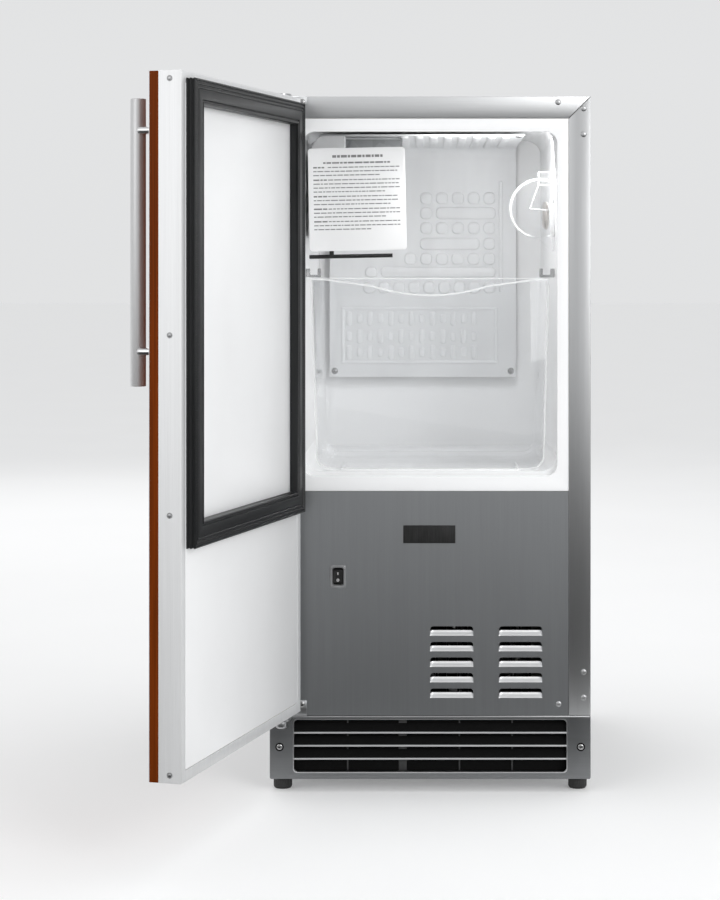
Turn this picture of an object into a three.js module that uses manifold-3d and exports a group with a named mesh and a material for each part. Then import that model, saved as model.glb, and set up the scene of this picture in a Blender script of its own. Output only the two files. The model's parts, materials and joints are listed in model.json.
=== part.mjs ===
// A built-in ice maker, 378 mm wide, with its overlay-panel door standing open.
// Millimetres. X runs to the right across the front, Y from the front frame back into the cabinet, Z up.
// Everything is laid out with X = 0 on the cabinet's middle, Y = 0 on the front frame's face and Z = 0 on the
// floor; the finished group is then moved so that its origin is the middle of its footprint.

import * as THREE from 'three';
import { mergeVertices } from 'three/addons/utils/BufferGeometryUtils.js';
import Module from 'manifold-3d';

const wasm = await Module();
wasm.setup();

// ---------------------------------------------------------------- driving dimensions

const WIDTH = 378;
const HEIGHT = 819;
const DEPTH = 460;
const GAP = 0.3;                 // clearance between pieces that meet
const SHEET = 1.2;               // steel sheet
const RAIL_WIDTH = 25.8;         // face of the front frame's rails
const RAIL_DEPTH = 2.4;
const PANEL_TOP = 354;           // upper edge of the lower front panel
const KICK_BOTTOM = 15;
const KICK_HEIGHT = 75;
const KICK_DEPTH = 12;
const BASE_BOTTOM = 18;          // underside of the base pan
const FOAM_BELOW = 22;           // underside of the insulated box below the panel's upper edge

const FLANGE_WIDTH = 13.4;       // white flange between a rail and the liner's mouth, at the sides
const FLANGE_TOP = 15.4;
const FLANGE_BOTTOM = 17.4;
const FLANGE_SET = 1;            // the flange lies this far behind the rails' faces
const LINER_WALL = 2;
const MOUTH_DEPTH = 12;
const MOUTH_RADIUS = 14;
const CAVITY_RADIUS = 20;
const CEILING_RISE = 12;         // the ceiling is this far above the mouth
const FLOOR_RISE = 5;            // and the floor this far above the mouth's sill
const BACK_FOAM = 65;

const DOOR_BOTTOM = 99;
const DOOR_TOP_GAP = 4;          // from the door's top edge to the cabinet's top
const DOOR_STANDOFF = 12;        // closed door's inner face to the frame's face
const DOOR_FRAME_DEPTH = 25;
const DOOR_FLANGE = 11.5;
const WOOD_THICKNESS = 10;
const DOOR_OPEN = THREE.MathUtils.degToRad(105);
const HINGE_INSET = 16;          // hinge axis from the door's edge
const HINGE_SETBACK = 18;        // hinge axis from the door's inner face
const PIN_RADIUS = 3;

const GASKET_INSET = 13;
const GASKET_WIDTH = 26;
const GASKET_CLEARANCE = 0.5;    // closed gasket's crest to the frame's face
const GASKET_TOP_INSET = 7;
const GASKET_BELOW_MOUTH = 38;

const HANDLE_RADIUS = 8;
const HANDLE_LENGTH = 296;
const HANDLE_TOP_DROP = 24.5;    // from the door's top edge to the bar's end
const HANDLE_EDGE = 45;          // bar's axis from the door's free edge
const HANDLE_STANDOFF = 30;      // bar's axis from the wood
const POST_RADIUS = 4;
const POST_SPACING = 227;
const POST_DROP = 33;            // from the bar's end to the upper post

const BIN_SIDE_CLEARANCE = 8.1;  // bin's rim to the liner's mouth
const BIN_TAPER = 5.8;
const BIN_WALL = 3;
const BIN_FRONT = 25;
const BIN_BACK_CLEARANCE = 105;
const BIN_BOTTOM_RADIUS = 17;
const BIN_DROP = 33.5;           // bin's rim below the ice-making module
const BIN_LIFT = 1;              // bin's underside above the liner's floor
const SCOOP_DEPTH = 19;
const SCOOP_HALF = 69;

const MODULE_WIDTH = 116;
const MODULE_HEIGHT = 123;
const MODULE_DROP = 17;          // front cover's top below the mouth's top
const MODULE_SIDE = 4.6;         // front cover's edge to the left wall
const MODULE_FRONT = 40;
const COVER_THICKNESS = 2.5;
const COVER_ROLL = THREE.MathUtils.degToRad(-1.1);
const CELLS = 5;
const CELL_PITCH = 15.2;
const CELL_RADIUS = 22;

const PLATE_THICKNESS = 1.5;     // evaporator plate
const PLATE_BEND = 20;

const FOOT_RADIUS = 11.3;
const FOOT_INSET = 14;           // foot's axis from the cabinet's side
const FOOT_SETBACK = 25;         // and from its front or back
const FOOT_HEIGHT = 14;
const STUD_RADIUS = 5;

const ROCKER_WIDTH = 11.2;
const ROCKER_RADIUS = 8.2;
const ROCKER_TILT = THREE.MathUtils.degToRad(7);
const BEZEL_WIDTH = 19.3;
const BEZEL_HEIGHT = 27;

const SWITCH_FROM_RAIL = 54.6;   // rocker's middle from the left rail's inner edge
const SWITCH_DROP = 100.2;       // and below the panel's upper edge
const SWITCH_SEAT = 2;           // bezel's rim over the edge of its window

const LOUVRE_ROWS = 5;
const LOUVRE_COLUMNS = 2;
const LOUVRE_PITCH = 18.3;
const LOUVRE_COLUMN_PITCH = 81;
const LOUVRE_FROM_RAIL = 56.9;   // right column's middle from the right rail's inner edge
const LOUVRE_RISE = 26.4;        // lowest row's middle above the kick plate
const LOUVRE_WIDTH = 50.3;
const LOUVRE_HEIGHT = 11;
const LOUVRE_DEPTH = 4.5;        // how far a scoop leans in behind the panel
const LOUVRE_MOUTH = 4.7;        // open height above its lip

const BADGE_HALF = 30.6;
const BADGE_DROP = 40;           // badge's upper edge below the panel's upper edge
const BADGE_HEIGHT = 21;
const BADGE_THICKNESS = 1;

const KICK_WALL = 2;
const KICK_MARGIN = 28.5;        // solid metal each side of the slots
const KICK_SILL = 8.6;           // solid metal below them
const KICK_LIP = 5;              // and above them
const KICK_BARS = 3;
const KICK_SLAT_RISE = 8;        // a slat's rear edge above its front edge
const KICK_RIBS = 4;
const KICK_RIB_PITCH = 65;
const KICK_SCREW_INSET = 11.6;
const KICK_SCREW_RISE = 38;

const GUARD_RADIUS = 37;         // thermostat guard
const GUARD_INSET = 17.7;        // its middle from the right wall
const GUARD_DROP = 89.7;         // and below the mouth's top
const GUARD_FRONT = 55;
const GUARD_DEPTH = 14;
const GUARD_WALL = 2.4;

const COMPRESSOR_RADIUS = 68;
const COMPRESSOR_INSET = 94;     // its axis from the left side
const COMPRESSOR_SETBACK = 104;  // and from the back
const TRAY_RISE = 162;           // drip tray's underside above the base pan
const TRAY_DEPTH = 34;
const TRAY_WALL = 2;

const FAN_RADIUS = 58;
const FAN_FROM_RAIL = 111.2;     // fan's axis from the right rail's inner edge
const FAN_Y = 150;
const FAN_Z = 150;
const FAN_BLADES = 5;
const BLADE_PITCH = THREE.MathUtils.degToRad(28);
const CONDENSER_SET = 32;        // condenser's rear face in front of the fan's middle
const CONDENSER_DEPTH = 38;
const CONDENSER_HALF_HEIGHT = 105;
const CONDENSER_TUBES = 5;
const FIN_PITCH = 13;
const FIN_THICKNESS = 2;

const BRACKET_FACE = 2.7;        // thickness of the hinge brackets' upright plates
const BRACKET_ARM = 3;           // and of the arms that reach forward
const BRACKET_ARM_HALF = 11;     // half the arm's width
const BRACKET_WIDTH = 44;
const BRACKET_LEG = 12;          // width of the leg down the rail

// ---------------------------------------------------------------- places worked out from them

const side = WIDTH / 2;
const railInner = side - RAIL_WIDTH;
const kickTop = KICK_BOTTOM + KICK_HEIGHT;
const mouthHalf = railInner - FLANGE_WIDTH;
const mouthTop = HEIGHT - RAIL_WIDTH - FLANGE_TOP;
const mouthBottom = PANEL_TOP + FLANGE_BOTTOM;
const ceiling = mouthTop + CEILING_RISE;
const floor = mouthBottom + FLOOR_RISE;
const linerBack = DEPTH - BACK_FOAM;
const backFace = DEPTH - SHEET;
const basePanTop = BASE_BOTTOM + 2;
const foamBottom = PANEL_TOP - FOAM_BELOW;

const doorTop = HEIGHT - DOOR_TOP_GAP;
const doorInner = -DOOR_STANDOFF;
const doorFront = doorInner - DOOR_FRAME_DEPTH;
const woodFront = doorFront - WOOD_THICKNESS;
const pinX = -side + HINGE_INSET;
const pinY = doorInner - HINGE_SETBACK;

const moduleLeft = -mouthHalf + MODULE_SIDE;
const moduleTop = mouthTop - MODULE_DROP;
const moduleBottom = moduleTop - MODULE_HEIGHT;
const binRim = moduleBottom - BIN_DROP;
const binBottom = floor + BIN_LIFT;
const binHalf = mouthHalf - BIN_SIDE_CLEARANCE;
const binBack = linerBack - BIN_BACK_CLEARANCE;

// ---------------------------------------------------------------- geometry helpers

function rect(x0, x1, y0, y1, radius = 0) {
  const shape = new THREE.Shape();
  if (radius <= 0) {
    shape.moveTo(x0, y0).lineTo(x1, y0).lineTo(x1, y1).lineTo(x0, y1).closePath();
    return shape;
  }
  shape.moveTo(x0 + radius, y0);
  shape.absarc(x1 - radius, y0 + radius, radius, -Math.PI / 2, 0);
  shape.absarc(x1 - radius, y1 - radius, radius, 0, Math.PI / 2);
  shape.absarc(x0 + radius, y1 - radius, radius, Math.PI / 2, Math.PI);
  shape.absarc(x0 + radius, y0 + radius, radius, Math.PI, Math.PI * 1.5);
  shape.closePath();
  return shape;
}

function polygon(points) {
  return new THREE.Shape(points.map(([x, y]) => new THREE.Vector2(x, y)));
}

function circle(x, y, radius) {
  return new THREE.Shape().absarc(x, y, radius, 0, Math.PI * 2);
}

function extrude(shape, depth, curveSegments) {
  return new THREE.ExtrudeGeometry(shape, { depth, bevelEnabled: false, curveSegments });
}

// An outline in X and Z, made solid from y0 to y1.
function alongY(shape, y0, y1, curveSegments = 6) {
  return extrude(shape, y1 - y0, curveSegments).rotateX(Math.PI / 2).translate(0, y1, 0);
}

// An outline in X and Y, made solid from z0 to z1.
function alongZ(shape, z0, z1, curveSegments = 6) {
  return extrude(shape, z1 - z0, curveSegments).translate(0, 0, z0);
}

// An outline in Y and Z, made solid from x0 to x1.
function alongX(shape, x0, x1, curveSegments = 6) {
  const turn = new THREE.Matrix4().set(0, 0, 1, 0, 1, 0, 0, 0, 0, 1, 0, 0, 0, 0, 0, 1);
  return extrude(shape, x1 - x0, curveSegments).applyMatrix4(turn).translate(x0, 0, 0);
}

function box(x0, x1, y0, y1, z0, z1) {
  const block = new THREE.BoxGeometry(x1 - x0, y1 - y0, z1 - z0);
  return block.translate((x0 + x1) / 2, (y0 + y1) / 2, (z0 + z1) / 2);
}

// A turned piece on a vertical axis, from [radius, height] points that start and end on the axis.
function turned(points, segments = 24) {
  const profile = points.map(([r, z]) => new THREE.Vector2(r, z));
  return new THREE.LatheGeometry(profile, segments).rotateX(Math.PI / 2);
}

function solid(geometry) {
  const bare = geometry.clone();
  bare.deleteAttribute('normal');
  bare.deleteAttribute('uv');
  const merged = mergeVertices(bare, 1e-4);
  return new wasm.Manifold(new wasm.Mesh({
    numProp: 3,
    vertProperties: new Float32Array(merged.getAttribute('position').array),
    triVerts: new Uint32Array(merged.index.array),
  }));
}

function geometryOf(manifold) {
  const mesh = manifold.getMesh();
  const geometry = new THREE.BufferGeometry();
  geometry.setAttribute('position', new THREE.BufferAttribute(mesh.vertProperties, 3));
  geometry.setIndex(new THREE.BufferAttribute(mesh.triVerts, 1));
  return geometry;
}

function join(first, ...others) {
  return geometryOf(others.reduce((sum, other) => sum.add(solid(other)), solid(first)));
}

function cut(first, ...tools) {
  return geometryOf(tools.reduce((rest, tool) => rest.subtract(solid(tool)), solid(first)));
}

function finish(color, roughness, metalness, opacity = 1) {
  return new THREE.MeshStandardMaterial({
    color, roughness, metalness, opacity, transparent: opacity < 1,
  });
}

const steel = finish(0xb9bcc0, 0.35, 1);
const darkSteel = finish(0x5d6064, 0.4, 1);
const zinc = finish(0xa9adb0, 0.45, 0.9);
const whitePlastic = finish(0xf1f2f2, 0.3, 0);
const clearPlastic = finish(0xe9eef1, 0.1, 0, 0.35);
const blackPlastic = finish(0x17181a, 0.5, 0);
const rubber = finish(0x232528, 0.55, 0);
const foam = finish(0xe8dcae, 0.9, 0);
const aluminium = finish(0xd3d6d9, 0.4, 0.8);
const wood = finish(0x7a3205, 0.45, 0);
const copper = finish(0xb5673b, 0.35, 1);
const blackPaint = finish(0x1b1c1e, 0.4, 0.2);

function piece(name, geometry, material) {
  const mesh = new THREE.Mesh(geometry, material);
  mesh.name = name;
  return mesh;
}

// ---------------------------------------------------------------- cabinet casing

function topRail() {
  const outline = polygon([
    [-side, HEIGHT], [side, HEIGHT],
    [railInner, HEIGHT - RAIL_WIDTH], [-railInner, HEIGHT - RAIL_WIDTH],
  ]);
  return piece('top_rail', alongY(outline, 0, RAIL_DEPTH), steel);
}

function sideRail(name, hand) {
  const mitre = 1.5 * GAP;
  const outline = polygon([
    [hand * side, HEIGHT - mitre], [hand * side, kickTop + GAP],
    [hand * railInner, kickTop + GAP], [hand * railInner, HEIGHT - RAIL_WIDTH - mitre],
  ]);
  return piece(name, alongY(outline, 0, RAIL_DEPTH), steel);
}

function cabinetShell() {
  const inner = side - SHEET;
  const outline = polygon([
    [-side, BASE_BOTTOM], [-inner, BASE_BOTTOM], [-inner, HEIGHT - SHEET], [inner, HEIGHT - SHEET],
    [inner, BASE_BOTTOM], [side, BASE_BOTTOM], [side, HEIGHT], [-side, HEIGHT],
  ]);
  const wrap = alongY(outline, RAIL_DEPTH + GAP, backFace - GAP);
  const kickRoom = box(-side - 1, side + 1, 0, KICK_DEPTH + GAP, 0, kickTop + GAP);
  return piece('cabinet_shell', cut(wrap, kickRoom), darkSteel);
}

function backPanel() {
  return piece('back_panel', box(-side, side, backFace, DEPTH, foamBottom, HEIGHT), zinc);
}

const valveX = side - 54;
const valveZ = 66;
const glandX = -side + 44;
const glandZ = 60;
const valvePipe = 10;
const glandRadius = 9;

function rearCover() {
  const slots = [];
  const slotHalf = side - 64;
  for (let z = 130; z <= foamBottom - 30; z += 16) {
    slots.push(alongY(rect(-slotHalf, -8, z, z + 5), backFace - 1, DEPTH + 1));
    slots.push(alongY(rect(8, slotHalf, z, z + 5), backFace - 1, DEPTH + 1));
  }
  const sheet = box(-side, side, backFace, DEPTH, BASE_BOTTOM, foamBottom - GAP);
  const valveHole = alongY(circle(valveX, valveZ, valvePipe + 1), backFace - 1, DEPTH + 1);
  const glandHole = alongY(circle(glandX, glandZ, glandRadius - 2 + GAP), backFace - 1, DEPTH + 1);
  return piece('rear_cover', cut(sheet, ...slots, valveHole, glandHole), zinc);
}

const footPlaces = {
  foot_front_left: [-side + FOOT_INSET, FOOT_SETBACK],
  foot_front_right: [side - FOOT_INSET, FOOT_SETBACK],
  foot_rear_left: [-side + FOOT_INSET, DEPTH - FOOT_SETBACK],
  foot_rear_right: [side - FOOT_INSET, DEPTH - FOOT_SETBACK],
};

function basePan() {
  const inner = side - SHEET - GAP;
  const sheet = box(-inner, inner, KICK_DEPTH + 2, backFace - GAP, BASE_BOTTOM, basePanTop);
  const holes = Object.values(footPlaces).map(([x, y]) =>
    alongZ(circle(x, y, STUD_RADIUS + GAP), BASE_BOTTOM - 1, basePanTop + 1));
  return piece('base_pan', cut(sheet, ...holes), zinc);
}

function foot(name, [x, y]) {
  const profile = [
    [0, 0], [FOOT_RADIUS - 2, 0], [FOOT_RADIUS, 2], [FOOT_RADIUS, 9], [FOOT_RADIUS - 2, FOOT_HEIGHT],
    [STUD_RADIUS, FOOT_HEIGHT], [STUD_RADIUS, FOOT_HEIGHT + 34], [0, FOOT_HEIGHT + 34],
  ];
  const mesh = piece(name, turned(profile, 20), blackPlastic);
  mesh.position.set(x, y, 0);
  return mesh;
}

function foamCore() {
  const inner = side - SHEET - GAP;
  const front = Math.max(RAIL_DEPTH, FLANGE_SET + LINER_WALL) + GAP;
  const block = box(-inner, inner, front, backFace - GAP, foamBottom, HEIGHT - SHEET - GAP);
  const tub = LINER_WALL + GAP;
  const room = box(
    -mouthHalf - tub, mouthHalf + tub, 0, linerBack + tub, mouthBottom - tub, ceiling + tub);
  return piece('foam_core', cut(block, room), foam);
}

function liner() {
  const flange = alongY(
    rect(-railInner + GAP, railInner - GAP, PANEL_TOP + GAP, HEIGHT - RAIL_WIDTH - GAP),
    FLANGE_SET, FLANGE_SET + LINER_WALL);
  const tub = box(
    -mouthHalf - LINER_WALL, mouthHalf + LINER_WALL, FLANGE_SET, linerBack + LINER_WALL,
    mouthBottom - LINER_WALL, ceiling + LINER_WALL);
  const mouth = alongY(
    rect(-mouthHalf, mouthHalf, mouthBottom, mouthTop, MOUTH_RADIUS), 0, MOUTH_DEPTH + 1);
  const cavity = alongY(
    rect(-mouthHalf, mouthHalf, floor, ceiling, CAVITY_RADIUS), MOUTH_DEPTH, linerBack);
  return piece('liner', cut(join(flange, tub), mouth, cavity), whitePlastic);
}

// ---------------------------------------------------------------- lower front

const switchX = -railInner + SWITCH_FROM_RAIL;
const switchZ = PANEL_TOP - SWITCH_DROP;

// An outline round the switch's middle, this far in from the bezel's rim.
function switchRect(inset, radius = 0) {
  const half = BEZEL_WIDTH / 2 - inset;
  const rise = BEZEL_HEIGHT / 2 - inset;
  return rect(switchX - half, switchX + half, switchZ - rise, switchZ + rise, radius);
}

// One louvre: a scoop pressed inwards, fixed along its lower edge and closed by a cheek at each end.
function louvreScoop(x, z) {
  const half = LOUVRE_WIDTH / 2;
  const low = z - LOUVRE_HEIGHT / 2 - 1;
  const lip = z + LOUVRE_HEIGHT / 2 - LOUVRE_MOUTH;
  const back = LOUVRE_DEPTH + SHEET;
  const ramp = polygon([[0, low], [LOUVRE_DEPTH, lip], [back, lip], [SHEET, low]]);
  const cheek = polygon([[0, low], [0, lip], [back, lip], [SHEET, low]]);
  return join(
    alongX(ramp, x - half - 1, x + half + 1),
    alongX(cheek, x - half - 1, x - half),
    alongX(cheek, x + half, x + half + 1));
}

function frontPanel() {
  const outline = rect(-railInner + GAP, railInner - GAP, kickTop + GAP, PANEL_TOP);
  const sheet = alongY(outline, 0, SHEET);
  const openings = [alongY(switchRect(SWITCH_SEAT), -1, SHEET + 1)];
  const scoops = [];
  for (let column = 0; column < LOUVRE_COLUMNS; column += 1) {
    const x = railInner - LOUVRE_FROM_RAIL - column * LOUVRE_COLUMN_PITCH;
    for (let row = 0; row < LOUVRE_ROWS; row += 1) {
      const z = kickTop + LOUVRE_RISE + row * LOUVRE_PITCH;
      openings.push(alongY(
        rect(x - LOUVRE_WIDTH / 2, x + LOUVRE_WIDTH / 2, z - LOUVRE_HEIGHT / 2 + 2, z + LOUVRE_HEIGHT / 2),
        -1, SHEET + 1));
      scoops.push(louvreScoop(x, z));
    }
  }
  return piece('front_panel', join(cut(sheet, ...openings), ...scoops), steel);
}

function nameBadge() {
  const high = PANEL_TOP - BADGE_DROP;
  const shape = rect(-BADGE_HALF - 1, BADGE_HALF - 1, high - BADGE_HEIGHT, high, 2);
  return piece('name_badge', alongY(shape, -GAP - BADGE_THICKNESS, -GAP), blackPlastic);
}

function switchBezel() {
  const windowHalf = ROCKER_WIDTH / 2 + GAP;
  const windowRise = ROCKER_RADIUS + GAP;
  const opening = alongY(
    rect(switchX - windowHalf, switchX + windowHalf, switchZ - windowRise, switchZ + windowRise), -3, 14);
  const rim = alongY(switchRect(0, 3), -2, -GAP);
  const body = alongY(switchRect(SWITCH_SEAT + GAP), -1, 18);
  const frame = cut(join(rim, body), opening);
  return piece('switch_bezel', frame, blackPlastic);
}

// The rocker turns about X. Its ends follow an arc round the pivot, and its face is a shallow V.
function rocker() {
  const end = THREE.MathUtils.degToRad(25);
  const back = THREE.MathUtils.degToRad(50);
  const shape = new THREE.Shape();
  shape.moveTo(-ROCKER_RADIUS * Math.sin(end), ROCKER_RADIUS * Math.cos(end));
  shape.absarc(0, 0, ROCKER_RADIUS, Math.PI / 2 + end, Math.PI / 2 - back, true);
  shape.absarc(0, 0, ROCKER_RADIUS, -Math.PI / 2 + back, -Math.PI / 2 - end, true);
  shape.lineTo(-2, 0);
  shape.closePath();
  const mesh = piece('rocker_switch', alongX(shape, -ROCKER_WIDTH / 2, ROCKER_WIDTH / 2), blackPlastic);
  mesh.position.set(switchX, 2, switchZ);
  mesh.rotation.x = ROCKER_TILT;
  return mesh;
}

const kickScrewX = side - KICK_SCREW_INSET;
const kickScrewZ = KICK_BOTTOM + KICK_SCREW_RISE;

function kickPlate() {
  const wall = KICK_WALL;
  const slotLow = KICK_BOTTOM + KICK_SILL;
  const slotHigh = kickTop - KICK_LIP;
  const slotHalf = side - KICK_MARGIN;
  const block = alongY(rect(-side, side, KICK_BOTTOM, kickTop, 2), 0, KICK_DEPTH);
  const hollow = box(
    -side + wall, side - wall, wall, KICK_DEPTH + 1, KICK_BOTTOM + wall, kickTop - wall);
  const opening = alongY(rect(-slotHalf, slotHalf, slotLow, slotHigh, 5), -1, wall + 1);
  const screwHoles = [-kickScrewX, kickScrewX].map((x) =>
    alongY(circle(x, kickScrewZ, 3), -1, wall + 1));
  const pitch = (slotHigh - slotLow) / (KICK_BARS + 1);
  const bars = [];
  for (let i = 1; i <= KICK_BARS; i += 1) {
    const z = slotLow + i * pitch;
    const slat = polygon([
      [0.5, z - 1], [0.5, z + 1], [KICK_DEPTH - 2, z + KICK_SLAT_RISE + 1],
      [KICK_DEPTH - 2, z + KICK_SLAT_RISE - 1],
    ]);
    bars.push(alongX(slat, -slotHalf - 1, slotHalf + 1));
  }
  const ribs = [];
  for (let i = 0; i < KICK_RIBS; i += 1) {
    const x = (i - (KICK_RIBS - 1) / 2) * KICK_RIB_PITCH;
    ribs.push(box(x - 2.5, x + 2.5, KICK_DEPTH / 2, KICK_DEPTH, KICK_BOTTOM + 1, kickTop - 1));
  }
  const pan = cut(block, hollow, opening, ...screwHoles);
  return piece('kick_plate', join(pan, ...bars, ...ribs), darkSteel);
}

function kickScrew(name, x) {
  const profile = [[0, -1.2], [4.2, -1.2], [4.2, -GAP], [2.4, -GAP], [2.4, 9], [0, 9]];
  const mesh = piece(name, turned(profile, 16).rotateX(-Math.PI / 2), steel);
  mesh.position.set(x, 0, kickScrewZ);
  return mesh;
}

// ---------------------------------------------------------------- cold compartment

const plateLeft = -mouthHalf + 14;
const plateRight = mouthHalf - 34;
const plateTop = ceiling - 9;
const plateBack = linerBack - 14;
const plateFront = 105;
const plateBottom = floor + 94;

// One sheet over the ceiling and down the back wall, with a round bend between them.
function evaporatorPlate() {
  const t = PLATE_THICKNESS;
  const shape = new THREE.Shape();
  shape.moveTo(plateFront, plateTop);
  shape.lineTo(plateBack - PLATE_BEND, plateTop);
  shape.absarc(plateBack - PLATE_BEND, plateTop - PLATE_BEND, PLATE_BEND, Math.PI / 2, 0, true);
  shape.lineTo(plateBack, plateBottom);
  shape.lineTo(plateBack - t, plateBottom);
  shape.lineTo(plateBack - t, plateTop - PLATE_BEND);
  shape.absarc(plateBack - PLATE_BEND, plateTop - PLATE_BEND, PLATE_BEND - t, 0, Math.PI / 2, false);
  shape.lineTo(plateFront, plateTop - t);
  shape.closePath();
  return piece('evaporator_plate', alongX(shape, plateLeft, plateRight), aluminium);
}

function iceBin() {
  const outline = (inset, low, high) => {
    const top = binHalf - inset;
    const base = binHalf - BIN_TAPER - inset;
    const radius = BIN_BOTTOM_RADIUS - inset;
    const shape = new THREE.Shape();
    shape.moveTo(-top, high);
    shape.lineTo(-base, low + radius);
    shape.absarc(-base + radius, low + radius, radius, Math.PI, Math.PI * 1.5);
    shape.absarc(base - radius, low + radius, radius, -Math.PI / 2, 0);
    shape.lineTo(top, high);
    shape.closePath();
    return shape;
  };
  const shell = alongY(outline(0, binBottom, binRim), BIN_FRONT, binBack);
  const room = alongY(
    outline(BIN_WALL, binBottom + BIN_WALL, binRim + 1), BIN_FRONT + BIN_WALL, binBack - BIN_WALL);
  const dip = new THREE.Shape();
  dip.moveTo(-binHalf + 6, binRim + 1);
  dip.lineTo(-SCOOP_HALF, binRim - SCOOP_DEPTH * 0.42);
  dip.quadraticCurveTo(-SCOOP_HALF * 0.5, binRim - SCOOP_DEPTH, 0, binRim - SCOOP_DEPTH);
  dip.quadraticCurveTo(SCOOP_HALF * 0.5, binRim - SCOOP_DEPTH, SCOOP_HALF, binRim - SCOOP_DEPTH * 0.42);
  dip.lineTo(binHalf - 6, binRim + 1);
  dip.closePath();
  const scoop = alongY(dip, BIN_FRONT - 1, BIN_FRONT + BIN_WALL + 1);
  return piece('ice_bin', cut(shell, room, scoop), clearPlastic);
}

// A clear fork beside the bin's rim that keeps the full bin from tipping as it is drawn out.
function binClip(name, hand) {
  const near = mouthHalf - GAP;
  const far = near - 18;
  const low = binRim + 1.5;
  const outline = polygon([
    [hand * near, low], [hand * far, low], [hand * far, low + 10.5], [hand * (far + 4), low + 10.5],
    [hand * (far + 4), low + 3], [hand * (near - 5), low + 3], [hand * (near - 5), low + 10.5],
    [hand * near, low + 10.5],
  ]);
  return piece(name, alongY(outline, 57, 63), clearPlastic);
}

const guardX = mouthHalf - GUARD_INSET;
const guardZ = mouthTop - GUARD_DROP;

// A clear drum that stands off the right wall, on a backplate with a cap above and a skirt below.
function thermostatGuard() {
  const wallX = mouthHalf - GAP;
  const low = guardZ - GUARD_RADIUS;
  const plateLow = low - 14;
  const back = GUARD_FRONT + 30;
  const disc = (radius) => {
    const reach = Math.acos(Math.min(1, (wallX - guardX) / radius));
    const shape = new THREE.Shape();
    shape.absarc(guardX, guardZ, radius, reach, Math.PI * 2 - reach);
    shape.closePath();
    return shape;
  };
  const drum = alongY(disc(GUARD_RADIUS), GUARD_FRONT, GUARD_FRONT + GUARD_DEPTH, 20);
  const bore = alongY(
    disc(GUARD_RADIUS - GUARD_WALL), GUARD_FRONT + 1.6, GUARD_FRONT + GUARD_DEPTH + 1, 20);
  const backplate = box(wallX - 1.6, wallX, GUARD_FRONT, back, plateLow, guardZ + 46);
  const skirt = alongY(polygon([
    [wallX - 20, low + 1], [wallX - 6, plateLow], [wallX, plateLow], [wallX, low + 1],
  ]), GUARD_FRONT, GUARD_FRONT + 3);
  const cap = box(wallX - 20, wallX, GUARD_FRONT, back - 10, guardZ + 29, guardZ + 45);
  return piece('thermostat_guard', join(cut(drum, bore), backplate, skirt, cap), clearPlastic);
}

function thermostatBulb() {
  const profile = [[0, -17], [2.5, -16], [4, -12], [4, 12], [2.5, 16], [0, 17]];
  const mesh = piece('thermostat_bulb', turned(profile, 14), copper);
  mesh.position.set(guardX + 7, GUARD_FRONT + 6, guardZ - 8);
  return mesh;
}

// ---------------------------------------------------------------- ice-making module

const coverBack = MODULE_FRONT + COVER_THICKNESS;
const housingLeft = moduleLeft - 2;
const housingRight = housingLeft + 26;
const housingFront = MODULE_FRONT + 22;
const housingTop = moduleTop - 5;
const housingBottom = moduleBottom + 16;
const moldLeft = housingRight + 9;
const moldRight = moldLeft + CELLS * CELL_PITCH + 1.5;
const ejectorY = housingFront + 50;
const ejectorZ = moduleTop - 55;
const shaftRadius = 4;
const armPivotY = MODULE_FRONT + 15;
const armPivotZ = moduleTop - 61;
const armBarZ = moduleBottom - 6.6;
const armRadius = 2.4;

function icemakerCover() {
  const halfWidth = MODULE_WIDTH / 2;
  const halfHeight = MODULE_HEIGHT / 2;
  const card = alongY(
    rect(-halfWidth, halfWidth, -halfHeight, halfHeight, 4), MODULE_FRONT, coverBack);
  const hangerDepth = housingFront - GAP;
  const upper = box(
    -halfWidth + 3, -halfWidth + 11, MODULE_FRONT + 1, hangerDepth, halfHeight - 18, halfHeight - 12);
  const lower = box(
    -halfWidth + 3, -halfWidth + 11, MODULE_FRONT + 1, hangerDepth, -halfHeight + 22, -halfHeight + 28);
  const mesh = piece('icemaker_cover', join(card, upper, lower), whitePlastic);
  mesh.position.set(moduleLeft + halfWidth, 0, moduleTop - halfHeight);
  mesh.rotation.y = COVER_ROLL;
  return mesh;
}

function icemakerHousing() {
  const block = alongX(
    rect(housingFront, housingFront + 88, housingBottom, housingTop, 6), housingLeft, housingRight);
  const ear = alongX(
    rect(armPivotY - 7, housingFront + 8, armPivotZ - 8, armPivotZ + 8, 4), housingRight - 9, housingRight);
  return piece('icemaker_housing', join(block, ear), whitePlastic);
}

function icemakerMold() {
  const wall = 4;
  const block = alongX(
    rect(ejectorY - CELL_RADIUS - wall, ejectorY + CELL_RADIUS + wall, ejectorZ - CELL_RADIUS - wall,
      ejectorZ), moldLeft, moldRight);
  const cells = [];
  for (let i = 0; i < CELLS; i += 1) {
    const x0 = moldLeft + 1.5 + i * CELL_PITCH;
    cells.push(alongX(circle(ejectorY, ejectorZ, CELL_RADIUS), x0, x0 + CELL_PITCH - 1.5, 10));
  }
  const groove = alongX(circle(ejectorY, ejectorZ, shaftRadius + 0.8), moldLeft - 1, moldRight + 1);
  return piece('icemaker_mold', cut(block, ...cells, groove), aluminium);
}

function stripperComb() {
  const low = ejectorZ + GAP;
  const front = ejectorY - CELL_RADIUS - 4;
  const parts = [];
  for (let i = 0; i <= CELLS; i += 1) {
    const x = moldLeft + 0.75 + i * CELL_PITCH;
    parts.push(box(x - 3, x + 3, front + 3, ejectorY - shaftRadius - 2, low, low + 2));
  }
  const spine = box(moldLeft - 2.25, moldRight + 2.25, front, front + 4, low, low + 2);
  return piece('stripper_comb', join(spine, ...parts), whitePlastic);
}

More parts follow.
